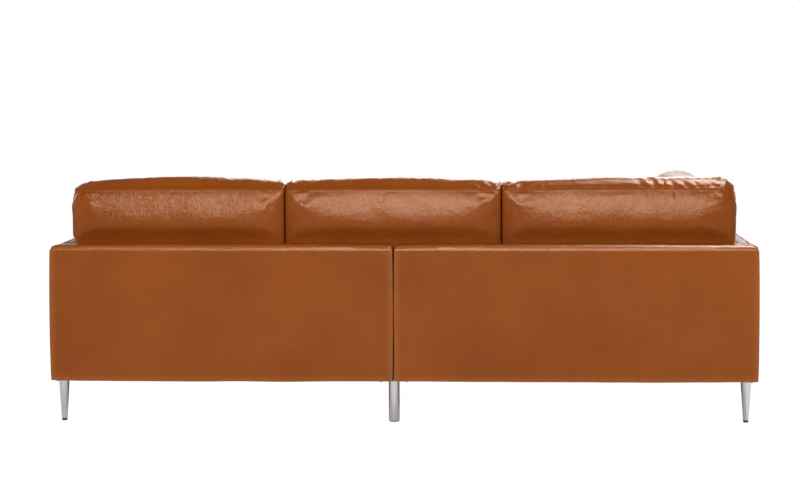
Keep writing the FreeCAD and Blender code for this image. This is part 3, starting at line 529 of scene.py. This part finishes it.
def leather_box(name, low, high, radius, rounded, seams, swell, seed):
    """A padded box. rounded tests a point of an edge to bevel, seams are (axis, level, where).

    where takes all points at once and says how far the seam runs over each.
    """
    thing = block(name, low, high)
    open_edit(thing)
    pick_edges(thing, rounded)
    bpy.ops.mesh.bevel(offset=radius, segments=6, profile=0.5, affect="EDGES")
    close_edit()
    for axis in range(3):
        slice_at(thing, axis, levels_between(low[axis], high[axis], BOX_STEP))
        for seam_axis, level, _ in seams:
            if seam_axis == axis:
                slice_at(thing, axis, seam_loops(level))
    points = points_of(thing)
    normals = normals_of(thing)
    low, high = np.array(low), np.array(high)
    share = (points - low) / (high - low)
    bulge = np.sin(np.pi * np.clip(share, 0, 1)) ** 0.5
    tent = np.prod(np.where(abs(normals) > 0.6, 1.0, bulge), axis=1)
    rise = swell * tent + HIDE_WAVE * waves(points, 0.11, seed) * tent
    seam = np.zeros(len(points))
    for axis, level, where in seams:
        distance = points[:, axis] - level
        on_seam = where(points, normals)
        ripple = 1 + 0.35 * waves(points, 0.018, seed + 3)
        rise += seam_profile(distance) * on_seam * ripple
        seam = np.maximum(seam, np.exp(-((distance / SEAM_HALF) ** 2)) * on_seam)
    second_nearest = np.sort(np.minimum(points - low, high - points), axis=1)[:, 1]
    edge = smooth(radius * 0.9 - second_nearest, 0, radius * 0.5)
    points = points + normals * rise[:, None]
    # The seam's valley is painted darker, as painted shade with some dirt; rounded edges are
    # painted paler as wear.
    store(thing, "seam", seam * 0.75)
    store(thing, "worn", edge * 0.45)
    set_points(thing, points)
    return thing


print("loops beside a seam:", len(seam_loops(0)))

# %% Backs
EDGE = 18 * MM
BACK_SEAM = 24 * MM
BACK_PUFF = 4.5 * MM
FOOT_HEIGHT = 30 * MM
FOOT_WAVE, FOOT_LIFT = 1.6 * MM, 0.4 * MM


def wavering_foot(thing, level, seed):
    """The lower edge of a cover, which wavers where it is pulled round its rail."""
    points = points_of(thing)
    near = 1 - smooth(points[:, 2] - level, 0, FOOT_HEIGHT)
    points[:, 2] += near * (FOOT_WAVE * waves(points * (1, 1, 0), 0.13, seed) + FOOT_LIFT)
    set_points(thing, points)


def back_leather(half, seed):
    """One back: rear panel, a top strip and side strips, joined by seams round the rear panel."""
    low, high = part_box(f"{half}_back_cover")
    foot, top, rear, front = low.z, high.z, high.y, low.y

    def rounded(point):
        outer = point.y > rear - MM or point.z > top - MM or point.y < front + MM
        return point.z > foot + EDGE and outer

    def on_top(points, normals):
        return smooth(normals[:, 2], 0.3, 0.8)

    def on_sides(points, normals):
        return smooth(abs(normals[:, 0]), 0.3, 0.8)

    seams = [(1, rear - BACK_SEAM, on_top), (1, rear - BACK_SEAM, on_sides)]
    thing = leather_box(f"{half}_back_leather", low, high, EDGE, rounded, seams, BACK_PUFF, seed)
    wavering_foot(thing, foot, seed + 1)
    finish_piece(thing, leather, "frame", [f"{half}_back_cover"])


back_leather("sofa", 1.0)
back_leather("chaise", 2.0)

# %% [markdown]
# ## Arms
# The arms are slim upright panels that stand on the bases. Each wears a strip of leather along its
# top and front, sewn to the two side panels, so two seams run along every arm. The method is the
# backs' own, with the rounding on the top and front edges only, because the rear meets the back.

# %% Arms
ARM_SEAM = 13 * MM
TIGHT_PUFF = 2.0 * MM


def arm_leather(half, seed):
    """One arm, with seams along both edges of its top strip."""
    low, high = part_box(f"{half}_arm_cover")

    def side_edges(point):
        at_side = point.x < low.x + MM or point.x > high.x - MM
        return at_side and (point.z > high.z - MM or point.y < low.y + MM)

    def on_faces(points, normals):
        return smooth(np.maximum(normals[:, 2], -normals[:, 1]), 0.3, 0.8)

    seams = [(0, low.x + ARM_SEAM, on_faces), (0, high.x - ARM_SEAM, on_faces)]
    thing = leather_box(f"{half}_arm_leather", low, high, EDGE, side_edges, seams, TIGHT_PUFF, seed)
    finish_piece(thing, leather, "frame", [f"{half}_arm_cover"])


arm_leather("sofa", 3.0)
arm_leather("chaise", 4.0)

# %% [markdown]
# ## Bases
# Under the seat cushions each half has a shallow padded box. Its leather turns over the top edge,
# runs a hand's width inwards and is sewn there to a plain cloth, which saves leather where no one
# sees it. Inside that border the top sinks a little, and the cloth is its own stretched piece.

# %% Bases
BORDER = 70 * MM
BASE_SEAM = 20 * MM
SINK = 8 * MM


def base_leather(half, edges, seed):
    """One base: its padded sides and a border round the sunken deck."""
    low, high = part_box(f"{half}_base_cover")

    def rounded(point):
        on = {"left": point.x > high.x - MM, "right": point.x < low.x + MM,
              "front": point.y < low.y + MM, "top": point.z > high.z - MM}
        return any(on[first] and on[second] for first, second in edges)

    def on_sides(points, normals):
        return smooth(abs(normals[:, 0]) + abs(normals[:, 1]), 0.5, 0.9)

    seams = [(2, high.z - BASE_SEAM, on_sides)]
    thing = leather_box(f"{half}_base_leather", low, high, EDGE, rounded, seams, TIGHT_PUFF, seed)
    wavering_foot(thing, low.z, seed + 1)
    points = points_of(thing)
    inside = np.minimum(points[:, 0] - low.x, high.x - points[:, 0])
    inside = np.minimum(inside, np.minimum(points[:, 1] - low.y, high.y - points[:, 1]))
    on_deck = points[:, 2] > high.z - 4 * MM
    sink = smooth(inside, BORDER - 6 * MM, BORDER + 14 * MM) * on_deck
    lowered = np.minimum(points[:, 2], high.z) - sink * SINK
    points[:, 2] = np.where(on_deck, lowered, points[:, 2])
    set_points(thing, points)
    finish_piece(thing, leather, "frame", [f"{half}_base_cover"])


CENTRE_ROUND = [("front", "top"), ("left", "top"), ("left", "front")]
ALL_ROUND = CENTRE_ROUND + [("right", "top"), ("right", "front")]
base_leather("sofa", ALL_ROUND, 5.0)
base_leather("centre", CENTRE_ROUND, 6.0)
base_leather("chaise", ALL_ROUND, 7.0)

# %% Deck cloth
CLOTH_STEP = 25 * MM
CLOTH_THICKNESS = 1.2 * MM
DIP, DIP_WAVE = 1.0 * MM, 0.6 * MM


def deck(half, seed):
    """The cloth of one deck: a stretched sheet that dips a little between the springs."""
    low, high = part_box(f"{half}_deck_cloth")
    width, length = high.x - low.x, high.y - low.y
    clear_selection()
    bpy.ops.mesh.primitive_grid_add(x_subdivisions=round(width / CLOTH_STEP),
                                    y_subdivisions=round(length / CLOTH_STEP), size=1)
    cloth = bpy.context.object
    cloth.name = f"{half}_deck_fabric"
    bpy.ops.object.mode_set(mode="EDIT")
    bpy.ops.mesh.select_all(action="SELECT")
    bpy.ops.transform.resize(value=(width, length, 1))
    bpy.ops.transform.translate(value=((low.x + high.x) / 2, (low.y + high.y) / 2, high.z))
    close_edit()
    points = points_of(cloth)
    edge = np.minimum(np.minimum(points[:, 0] - low.x, high.x - points[:, 0]),
                      np.minimum(points[:, 1] - low.y, high.y - points[:, 1]))
    points[:, 2] -= smooth(edge, 0, 0.12) * (DIP + DIP_WAVE * waves(points, 0.15, seed))
    set_points(cloth, points)
    apply_modifier(cloth, "SOLIDIFY", thickness=CLOTH_THICKNESS, offset=-1)
    finish_piece(cloth, deck_fabric, "frame", [f"{half}_deck_cloth"])


deck("sofa", 11.0)
deck("centre", 12.0)
deck("chaise", 13.0)

# %% [markdown]
# ## Sewn cushions
# A box cushion is two panels joined by a strip of leather, the boxing. Where they meet there is a
# seam with a small ridge, and the fill pushes each face out between its seams. So a cushion is made
# in that order: a block cut at the seams' lines, its rims tightened by a small bevel, each face
# pushed out by a profile of its distance from the nearest seam, and then a cloth simulation blows
# it up with the seams held. The distance from the seam is kept for every point. It says where the
# ridge, the stitches' valley, the puckers and the pale rim lie. The rim's paleness is partly wear
# and partly a painted highlight, and the valley's darkness is painted shade with some dirt.

# %% The cut of a cushion
RIM = 6 * MM
RIM_SAMPLE = 3 * MM
RIM_LOOPS = (10 * MM, 15 * MM)


def cushion_block(name, low, high, thin, radii, radius_at, step, ear=None):
    """A block with rounded corners and tight rims, and its rims' points with their run along them.

    thin is the axis through the cushion from panel to panel. radius_at gives one of radii, or 0,
    for a point of an edge along that axis. ear is (reach, level): in front of level it is wider.
    """
    thing = block(name, low, high)
    if ear:
        reach, level = ear
        slice_at(thing, 1, [level])
        open_edit(thing)
        pick_faces(thing, lambda centre, normal: normal.x < -0.9 and centre.y < level)
        bpy.ops.mesh.extrude_region_move(TRANSFORM_OT_translate={"value": (-reach, 0, 0)})
        close_edit()
    for radius in radii:
        mesh = open_edit(thing)
        bpy.ops.mesh.select_mode(type="EDGE")
        for edge in mesh.edges:
            first, second = edge.verts
            along = abs((second.co - first.co).normalized()[thin]) > 0.9
            faces = edge.link_faces
            sharp = len(faces) == 2 and faces[0].normal.dot(faces[1].normal) < 0.5
            edge.select = along and sharp and radius_at(first.co) == radius
        bmesh.update_edit_mesh(thing.data)
        bpy.ops.mesh.bevel(offset=radius, segments=6, profile=0.5, affect="EDGES")
        close_edit()
    far_low = Vector(low) - Vector((ear[0] if ear else 0, 0, 0))
    for axis in range(3):
        slice_at(thing, axis, levels_between(far_low[axis], high[axis], step))
    for level in RIM_LOOPS:
        slice_at(thing, thin, [low[thin] + level, high[thin] - level])
    mesh = open_edit(thing)
    bpy.ops.mesh.select_mode(type="EDGE")
    samples, runs = [], []
    for edge in mesh.edges:
        faces = edge.link_faces
        tilts = sorted(abs(face.normal[thin]) for face in faces)
        edge.select = len(faces) == 2 and tilts[0] < 0.5 < tilts[1]
        if edge.select:
            first, second = edge.verts[0].co, edge.verts[1].co
            count = max(1, round((second - first).length / RIM_SAMPLE))
            for index in range(count):
                spot = first.lerp(second, (index + 0.5) / count)
                samples.append(spot.copy())
                runs.append(sum(spot) - spot[thin])
    bmesh.update_edit_mesh(thing.data)
    bpy.ops.mesh.bevel(offset=RIM, segments=3, profile=0.6, affect="EDGES")
    close_edit()
    return thing, samples, np.array(runs)


def nearest_rim(points, samples):
    """Distance of each point from the nearest rim, and the number of that rim's sample."""
    tree = KDTree(len(samples))
    for index, spot in enumerate(samples):
        tree.insert(spot, index)
    tree.balance()
    found = [tree.find(Vector(point)) for point in points]
    return np.array([item[2] for item in found]), np.array([item[1] for item in found])


print("rim:", RIM * 1000, "mm")

# %% The fill pushes every face out
FULLNESS = 0.8


def by_face(normals, values):
    """One value per point from six, for -x +x -y +y -z +z, by the way that the point faces."""
    total = np.zeros(len(normals))
    for axis in range(3):
        low, high = values[2 * axis], values[2 * axis + 1]
        total += normals[:, axis] ** 2 * np.where(normals[:, axis] < 0, low, high)
    return total


def fill_up(points, normals, distance, swell, reach):
    """Moves each point out by its face's swell, by how far it lies from the seam."""
    way = np.clip(distance / np.maximum(by_face(normals, reach), MM), 0, 1)
    rise = by_face(normals, swell) * (1 - (1 - way) ** 2) ** FULLNESS
    return points + normals * rise[:, None]


def hold_back(points, axis, limit, side, soft, room=0.0, rise=0.0, sway=0.0):
    """Keeps points on their side of a plane, with a soft approach.

    Above the frame's top the plane gives way by room, over a height of rise, where the fill
    swells over what it leans on. It sways where two cushions press into each other.
    """
    plane = limit + sway * np.sin(points[:, 1] * 2 * math.pi / SWAY_LENGTH)
    if rise:
        plane = plane + side * room * smooth(points[:, 2], FRAME_TOP + MM, FRAME_TOP + rise)
    over = side * (points[:, axis] - plane)
    soft_over = -soft * np.exp(-(over + soft) / soft)
    points[:, axis] = plane + side * np.where(over > -soft, soft_over, over)


print("six faces: -x +x -y +y -z +z")

# %% [markdown]
# ## Letting the leather find its own shape
# A profile gives every cushion the same smooth faces. Cloth with air pressure inside gives it slack
# and tension, because the leather is cut a little larger than the block that it covers. All seven
# are blown up at once. The mesh is coarse, so its small wrinkles are noise: each point's way is
# averaged with its neighbours' until only slow bulges are left.

# %% Cloth: blow up all cushions at once, with the seams held
FRAMES = 20
PRESSURE = 2.5
SPARE_LEATHER = 0.010
CAP = 26 * MM
PINNED = 8 * MM
CALM_ROUNDS = 14


def start_cloth(thing, distance):
    """Cloth with pressure inside, pinned along the seams."""
    group = thing.vertex_groups.new(name="seams")
    for index in np.nonzero(distance < PINNED)[0]:
        group.add([int(index)], 1.0, "REPLACE")
    cloth = thing.modifiers.new("cloth", "CLOTH")
    settings = cloth.settings
    settings.quality = 5
    settings.mass = 0.35
    settings.tension_stiffness = 18
    settings.compression_stiffness = 18
    settings.shear_stiffness = 6
    settings.bending_stiffness = 1.2
    settings.use_pressure = True
    settings.uniform_pressure_force = PRESSURE
    settings.vertex_group_mass = "seams"
    settings.shrink_min = -SPARE_LEATHER
    settings.effector_weights.gravity = 0
    cloth.collision_settings.use_collision = False


def run_cloth(pieces):
    """Steps the clock, applies the cloth, calms small wrinkles and caps how far points moved."""
    before = {thing: points_of(thing) for thing, _ in pieces}
    for frame_number in range(1, FRAMES + 1):
        bpy.context.scene.frame_set(frame_number)
    for thing, distance in pieces:
        pick(thing)
        bpy.ops.object.modifier_apply(modifier="cloth")
        moved = spread(thing, points_of(thing) - before[thing], distance < PINNED, CALM_ROUNDS)
        length = np.linalg.norm(moved, axis=1)
        print(f"{thing.name}: moved {length.max() / MM:.1f} mm at most")
        capped = CAP * np.tanh(length / CAP)
        set_points(thing, before[thing] + moved * (capped / np.maximum(length, 1e-9))[:, None])
    bpy.context.scene.frame_set(1)


print("cloth frames:", FRAMES)

# %% Where each back cushion sits
BACK_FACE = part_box("sofa_back_cover")[0].y
FRAME_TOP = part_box("sofa_back_cover")[1].z
SEAT_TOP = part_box("end_back_cushion_cover")[0].z
SEAM_TOP = SEAT_TOP + 380 * MM
SIDE_SEAM_TOP = SEAT_TOP + 354 * MM
HAIR = 0.5 * MM
SOFT = 5 * MM
NEIGHBOUR = 1.4 * MM
SWAY, SWAY_LENGTH = 3 * MM, 0.16
BACK_SWELL = (9 * MM, 9 * MM, 24 * MM, 30 * MM, 0.0, 44 * MM)
BACK_REACH = (0.075, 0.075, 0.15, 0.10, 0.05, 0.08)
BACK_STEP = 13 * MM
BACK_THICKNESS, SIDE_THICKNESS = 178 * MM, 204 * MM
BACK_ROOM, BACK_RISE = 27 * MM, 85 * MM
ARM_ROOM, SIDE_ROOM, ARM_RISE = 44 * MM, 22 * MM, 30 * MM
PANEL_SHARE = 0.85
WIDE_CORNER, TIGHT_CORNER = 52 * MM, 20 * MM
CORNER_IN = 20 * MM
cushions = []


def keep_cushion(name, thing, run, distance, clamps, **finish):
    """Notes what the simulation and the sewing need to know of one cushion."""
    cushions.append({
        "thing": thing, "run": run, "distance": distance, "clamps": clamps, "body": f"{name}_body",
        "replaced": [f"{name}_cover", f"{name}_core"], **finish,
    })


def arched(points, axis, low, high, seam, falls):
    """Lowers the crown towards both ends, by its own share at each, as the fill settles there."""
    way = (points[:, axis] - (low + high) / 2) / ((high - low) / 2)
    fall = np.where(way < 0, falls[0], falls[1]) * np.clip(abs(way), 0, 1) ** 2
    above = np.maximum(points[:, 2] - seam, 0)
    points[:, 2] -= above * fall
    return points


def standing_cushion(name, thin, seam_top, swell, clamps, ends, falls, corners, seed):
    """A back cushion or the side cushion: it stands on its boxing.

    ends says how far its two ends reach past the measured cushion, over an arm for instance,
    falls how much of its crown is missing there, and corners how round its upper corners are.
    """
    low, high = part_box(f"{name}_cover")
    inset = 12 * MM
    low, high = low.copy(), high.copy()
    high.z = seam_top
    wide = 1 - thin
    if thin == 1:
        low.y = high.y - BACK_THICKNESS + inset
        high.y -= inset
    else:
        high.x = low.x + SIDE_THICKNESS - 2 * MM
        low.x += inset
    low[wide], high[wide] = low[wide] - ends[0], high[wide] + ends[1]
    middle_z = (low.z + high.z) / 2
    middle = (low[wide] + high[wide]) / 2

    def radius_at(point):
        end = corners[0] if point[wide] < middle else corners[1]
        return end if point.z > middle_z else 0

    thing, samples, runs = cushion_block(f"{name}_leather", low, high, thin, sorted(set(corners)),
                                         radius_at, BACK_STEP)
    points, normals = points_of(thing), normals_of(thing)
    distance, nearest = nearest_rim(points, samples)
    panels = tuple(push * PANEL_SHARE for push in swell[:5])
    filled = fill_up(points, normals, distance, panels + swell[5:], BACK_REACH)
    filled = arched(filled, wide, low[wide], high[wide], seam_top, falls)
    if thin == 0:
        filled = arched(filled, 0, low.x, high.x, seam_top, ARM_SIDE_FALLS)
    set_points(thing, filled)
    pinches = [(low[wide] + CORNER_IN, high.z - CORNER_IN),
               (high[wide] - CORNER_IN, high.z - CORNER_IN)]
    keep_cushion(name, thing, runs[nearest], distance, clamps, seed=seed, foot=low.z, fill=0.75,
                 across=wide, pinches=pinches)


def back_clamps(name):
    """What a back cushion may not pass: the back, its neighbours or an arm, and the seat."""
    low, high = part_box(f"{name}_cover")
    clamps = [(1, BACK_FACE - HAIR, 1, SOFT, BACK_ROOM, BACK_RISE)]
    for side, limit, beside_arm in ((-1, low.x, "corner"), (1, high.x, "end")):
        if name == f"{beside_arm}_back_cushion":
            clamps.append((0, limit, side, SOFT, ARM_ROOM, ARM_RISE))
        else:
            clamps.append((0, limit + side * NEIGHBOUR, side, SOFT, 0, 0, SWAY))
    return clamps


BACK_ENDS = {
    "end_back_cushion": ((0, 19 * MM), (0.30, 0.55), (TIGHT_CORNER, WIDE_CORNER)),
    "middle_back_cushion": ((0, 0), (0.30, 0.40), (TIGHT_CORNER, TIGHT_CORNER)),
    "corner_back_cushion": ((6 * MM, 0), (0.10, 0.42), (WIDE_CORNER, TIGHT_CORNER)),
}
for seed, (name, (ends, falls, corners)) in enumerate(BACK_ENDS.items(), start=21):
    standing_cushion(name, 1, SEAM_TOP, BACK_SWELL, back_clamps(name), ends, falls, corners, seed)

side_low, side_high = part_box("side_cushion_cover")
SIDE_SWELL = (22 * MM, 28 * MM, 9 * MM, 9 * MM, 0.0, 46 * MM)
ARM_SIDE_FALLS = (0.7, 0.0)
side_clamps = [(0, side_low.x, -1, SOFT, SIDE_ROOM, ARM_RISE), (1, side_high.y + SOFT, 1, SOFT)]
standing_cushion("side_cushion", 0, SIDE_SEAM_TOP, SIDE_SWELL, side_clamps, (-2 * MM, -2 * MM),
                 (0.1, 0.3), (WIDE_CORNER, WIDE_CORNER), 25)

# %% Seat cushions
SEAT_SWELL = (6 * MM, 6 * MM, 9 * MM, 5 * MM, 0.0, 24 * MM)
SEAT_REACH = (0.06, 0.06, 0.06, 0.06, 0.05, 0.22)
SEAT_SEAM = 131 * MM
SEAT_STEP = 17 * MM
SEAT_CORNER = 26 * MM
SEAT_SIDE, SEAT_FRONT = 3 * MM, 6 * MM
SEAT_SOFT = 4 * MM
SEAT_SHARE = 0.75
FLAT_EDGE = 30 * MM


def lying_cushion(name, flat_zones, seed, ear=None):
    """A seat cushion or the chaise cushion: its panels lie above and below."""
    low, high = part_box(f"{name}_cover")
    clamps = [(0, low.x, -1, SEAT_SOFT), (0, high.x, 1, SEAT_SOFT),
              (1, BACK_FACE - HAIR, 1, SEAT_SOFT)]
    low, high = low.copy(), high.copy()
    low.x, high.x = low.x + SEAT_SIDE, high.x - SEAT_SIDE
    low.y, high.y = low.y + SEAT_FRONT, high.y - SEAT_SIDE
    high.z = low.z + SEAT_SEAM
    if ear:
        low.x += ear[0]

    def radius_at(point):
        inner = ear and abs(point.y - ear[1]) < MM and point.x > low.x - MM
        return 0 if inner else SEAT_CORNER

    thing, samples, runs = cushion_block(f"{name}_leather", low, high, 2, [SEAT_CORNER], radius_at,
                                         SEAT_STEP, ear)
    points, normals = points_of(thing), normals_of(thing)
    distance, nearest = nearest_rim(points, samples)
    swell = tuple(push * SEAT_SHARE for push in SEAT_SWELL)
    set_points(thing, fill_up(points, normals, distance, swell, SEAT_REACH))
    keep_cushion(name, thing, runs[nearest], distance, clamps, seed=seed, foot=low.z, fill=0.8,
                 flat_zones=flat_zones)


FLAT_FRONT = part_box("end_back_cushion_cover")[0].y - 10 * MM
for seed, name in enumerate(("end_seat_cushion", "middle_seat_cushion"), start=31):
    low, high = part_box(f"{name}_cover")
    lying_cushion(name, [(low.x - 1, high.x + 1, FLAT_FRONT)], seed)

chaise_low, chaise_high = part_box("chaise_cushion_cover")
arm_low, arm_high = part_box("chaise_arm_cover")
EAR = (arm_high.x + MM - chaise_low.x, arm_low.y - MM)
lying_cushion("chaise_cushion",
              [(chaise_low.x, chaise_high.x + 1, FLAT_FRONT),
               (chaise_low.x, side_high.x + 6 * MM, side_low.y - 6 * MM)], 33, EAR)
print("cushions:", [cushion["thing"].name for cushion in cushions])

# %% Simulate
for cushion in cushions:
    start_cloth(cushion["thing"], cushion["distance"])
run_cloth([(cushion["thing"], cushion["distance"]) for cushion in cushions])

# %% [markdown]
# ## Sewing
# A seam is a ridge with a valley beside it. The thread draws the leather together, so short puckers
# stand across the seam, folds fan out of the upper corners, and slow creases run over the faces.
# Last, every point goes back to its own side of what the cushion leans on. Where the back cushions
# stand, the seats are pressed flat.

# %% Seams, puckers and creases
RIDGE, RIDGE_WIDTH = 0.9 * MM, 3 * MM
VALLEY, VALLEY_AT, VALLEY_WIDTH = 0.8 * MM, 8 * MM, 4 * MM
PUCKER, PUCKER_PITCH = 1.3 * MM, 0.023
PINCH, FOLDS = 3.2 * MM, 9
RING, RING_WIDTH = 46 * MM, 28 * MM
GATHER, FOLD_PITCH = 2.0 * MM, 36 * MM
CREASE, FINE_CREASE = 2.2 * MM, 1.1 * MM


def pinch_folds(points, across, spots, seed):
    """Short creases that fan out of a cushion's upper corners, where the leather is gathered."""
    folds = np.zeros(len(points))
    for along, height in spots:
        out, up = points[:, across] - along, points[:, 2] - height
        turn = np.sin(FOLDS * np.arctan2(up, out) + 4 * waves(points, 0.06, seed))
        folds += PINCH * turn * np.exp(-(((np.hypot(out, up) - RING) / RING_WIDTH) ** 2))
    return folds


def sew(cushion):
    """The ridge and valley of the seams, puckers across them, and slow creases over the faces."""
    thing, distance, seed = cushion["thing"], cushion["distance"], cushion["seed"]
    points, normals = points_of(thing), normals_of(thing)
    on_rim = np.exp(-((distance / RIDGE_WIDTH) ** 2))
    valley = -VALLEY * np.exp(-(((distance - VALLEY_AT) / VALLEY_WIDTH) ** 2))
    beat = np.sin(cushion["run"] * 2 * math.pi / PUCKER_PITCH + 5 * waves(points, 0.09, seed))
    patch = smooth(waves(points, 0.075, seed + 1), -0.15, 0.35)
    pucker = PUCKER * beat * patch * np.exp(-distance / (22 * MM))
    pucker *= smooth(distance, 2 * MM, 9 * MM)
    slow = CREASE * waves(points, 0.13, seed + 2) + FINE_CREASE * waves(points, 0.05, seed + 3)
    slow *= smooth(distance, 6 * MM, 60 * MM)
    rise = RIDGE * on_rim + valley + pucker + slow
    if "pinches" in cushion:
        along = points[:, cushion["across"]]
        slant = along + 0.6 * points[:, 1 - cushion["across"]]
        patches = smooth(waves(points, 0.16, seed + 6), -0.1, 0.4)
        if thing.name == "corner_back_cushion_leather":
            patches = np.maximum(0.3 * patches, 2.0 * smooth(-along, 0.80, 0.92))
        gathered = np.sin(slant * 2 * math.pi / FOLD_PITCH + 5 * waves(points, 0.08, seed + 4))
        gathered *= GATHER * patches * smooth(normals[:, 2], 0.2, 0.8)
        fan = pinch_folds(points, cushion["across"], cushion["pinches"], seed + 5)
        rise += (gathered + fan) * smooth(distance, 2 * MM, 16 * MM)
    points = points + normals * rise[:, None]
    for clamp in cushion["clamps"]:
        hold_back(points, *clamp)
    points[:, 2] = np.maximum(points[:, 2], cushion["foot"])
    for x_low, x_high, y_low in cushion.get("flat_zones", []):
        inside = (smooth(points[:, 0], x_low - FLAT_EDGE, x_low)
                  * smooth(-points[:, 0], -x_high - FLAT_EDGE, -x_high)
                  * smooth(points[:, 1], y_low - FLAT_EDGE, y_low))
        points[:, 2] -= np.maximum(points[:, 2] - (SEAT_TOP - HAIR), 0) * inside
    set_points(thing, points)
    # The stitches' valley beside the ridge is painted darker: painted shade, with some dirt.
    store(thing, "seam", 0.5 * np.exp(-(((distance - 7 * MM) / RIDGE_WIDTH) ** 2)))
    # The rim's thin pale line is a painted highlight; raised crests are painted paler as wear.
    store(thing, "worn", 0.35 * on_rim + 0.1 * smooth(rise, MM, 3 * MM))
    apply_modifier(thing, "SUBSURF", levels=1, render_levels=1)
    finish_piece(thing, leather, cushion["body"], cushion["replaced"])


for cushion in cushions:
    sew(cushion)

# %% [markdown]
# ## Floor, lamps and camera
# The sofa stands on a plain white floor in a white room. A white room would light the leather
# flat from all sides, so what the camera sees as white and what lights the sofa are kept apart: a
# Light Path node gives white to the camera alone. The light on the sofa comes from a sky that is
# pale near the horizon and dark above, which keeps the leather's shine to where the lamps are. The
# lamps are large, as in a studio, so highlights have soft edges.

# %% Floor
FLOOR_SIZE = 60.0
FLOOR_WHITE, FLOOR_GLOW = 0.87, 1.14


def floor_paint():
    """A floor that is white to the camera but keeps the shadow under the sofa."""
    paint = Paint("white_floor", Base_Color=(0.75, 0.75, 0.75, 1), Roughness=0.9)
    tree = paint.tree
    seen = paint.node("LightPath", output="Is Camera Ray")
    white = paint.node("Emission", None, {"Color": (1, 1, 1, 1), "Strength": FLOOR_GLOW})
    mix = paint.node("MixShader", None, {1: Wire(paint, paint.shader.outputs[0]), 2: white})
    paint.plug(mix.socket.node.inputs[0], seen * FLOOR_WHITE)
    tree.links.new(mix.socket, tree.nodes["Material Output"].inputs["Surface"])
    return paint.material


clear_selection()
bpy.ops.mesh.primitive_plane_add(size=FLOOR_SIZE, location=(0, 0, 0))
floor = bpy.context.object
floor.name = "floor"
floor.data.materials.append(floor_paint())
floor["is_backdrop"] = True
print("floor:", FLOOR_SIZE, "m square")

# %% Sky: white where the camera looks, pale below and dark above for all else
SKY_LOW, SKY_HIGH = 0.75, 0.08
DUSK_START, DUSK_END = 0.03, 0.35
world = bpy.data.worlds.new("white_room")
bpy.context.scene.world = world
world.use_nodes = True
sky = world.node_tree
sky_nodes = sky.nodes
backdrop = sky_nodes["Background"]
backdrop.inputs["Color"].default_value = (1, 1, 1, 1)
way = sky_nodes.new("ShaderNodeTexCoord")
parts = sky_nodes.new("ShaderNodeSeparateXYZ")
height = sky_nodes.new("ShaderNodeMapRange")
for socket, value in (("From Min", DUSK_START), ("From Max", DUSK_END), ("To Min", SKY_LOW),
                      ("To Max", SKY_HIGH)):
    height.inputs[socket].default_value = value
sky.links.new(way.outputs["Generated"], parts.inputs[0])
sky.links.new(parts.outputs["Z"], height.inputs["Value"])
sky.links.new(height.outputs[0], backdrop.inputs["Strength"])
white_room = sky_nodes.new("ShaderNodeBackground")
white_room.inputs["Color"].default_value = (1, 1, 1, 1)
white_room.inputs["Strength"].default_value = 1.0
paths = sky_nodes.new("ShaderNodeLightPath")
either = sky_nodes.new("ShaderNodeMath")
either.operation = "MAXIMUM"
choose = sky_nodes.new("ShaderNodeMixShader")
sky.links.new(paths.outputs["Is Camera Ray"], either.inputs[0])
sky.links.new(paths.outputs["Is Transmission Ray"], either.inputs[1])
sky.links.new(either.outputs[0], choose.inputs[0])
sky.links.new(backdrop.outputs[0], choose.inputs[1])
sky.links.new(white_room.outputs[0], choose.inputs[2])
sky.links.new(choose.outputs[0], sky_nodes["World Output"].inputs["Surface"])
print("sky light, low and high:", SKY_LOW, SKY_HIGH)

# %% Lamps


def softbox(name, spot, target, width, height, watts):
    """A large rectangular lamp that points at a target."""
    clear_selection()
    bpy.ops.object.light_add(type="AREA", location=spot)
    lamp = bpy.context.object
    lamp.name = name
    lamp.data.shape = "RECTANGLE"
    lamp.data.size = width
    lamp.data.size_y = height
    lamp.data.energy = watts
    lamp.rotation_euler = (Vector(target) - Vector(spot)).to_track_quat("-Z", "Y").to_euler()


softbox("rear_softbox", (-0.2, 7.6, 5.0), (0.0, 0.7, 0.5), 5.6, 2.1, 500)
softbox("front_softbox", (-0.5, -7.0, 4.0), (0.0, 0.0, 0.4), 4.5, 1.4, 220)
softbox("crown_softbox", (-2.0, -1.3, 4.8), (-1.0, 0.6, 0.86), 1.5, 1.2, 130)
softbox("side_softbox", (5.5, 0.6, 2.6), (1.2, 0.6, 0.7), 1.2, 1.2, 70)

# %% [markdown]
# ## Camera
# The picture shows the sofa from behind, from a little to its chaise side. A long lens was used
# from some six metres away, held above the cushions and pointed slightly down. Its place, its
# turn and its focal length were solved from the corners and the feet of the sofa.

# %% Camera
EYE = (-0.3156, 6.80, 1.248)
TURN, TILT, ROLL = 0.03028, -0.04513, 0.00271
FOCAL_PIXELS, PICTURE_WIDTH, SENSOR = 1692.5, 800, 36.0
SHIFT_ACROSS, SHIFT_UP = -39.4, -100
clear_selection()
bpy.ops.object.camera_add(location=EYE)
camera = bpy.context.object
camera.name = "camera"
heading = Matrix.Rotation(math.pi + TURN, 4, "Z") @ Matrix.Rotation(math.pi / 2 + TILT, 4, "X")
camera.matrix_world = Matrix.Translation(EYE) @ heading @ Matrix.Rotation(-ROLL, 4, "Z")
camera.data.sensor_width = SENSOR
camera.data.lens = FOCAL_PIXELS / PICTURE_WIDTH * SENSOR
camera.data.shift_x = SHIFT_ACROSS / PICTURE_WIDTH
camera.data.shift_y = SHIFT_UP / PICTURE_WIDTH
bpy.context.scene.camera = camera
bpy.context.scene.view_settings.view_transform = "Standard"
print("lens:", round(camera.data.lens, 1), "mm")

# %% The box round all that is shown, without the floor
low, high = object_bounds()
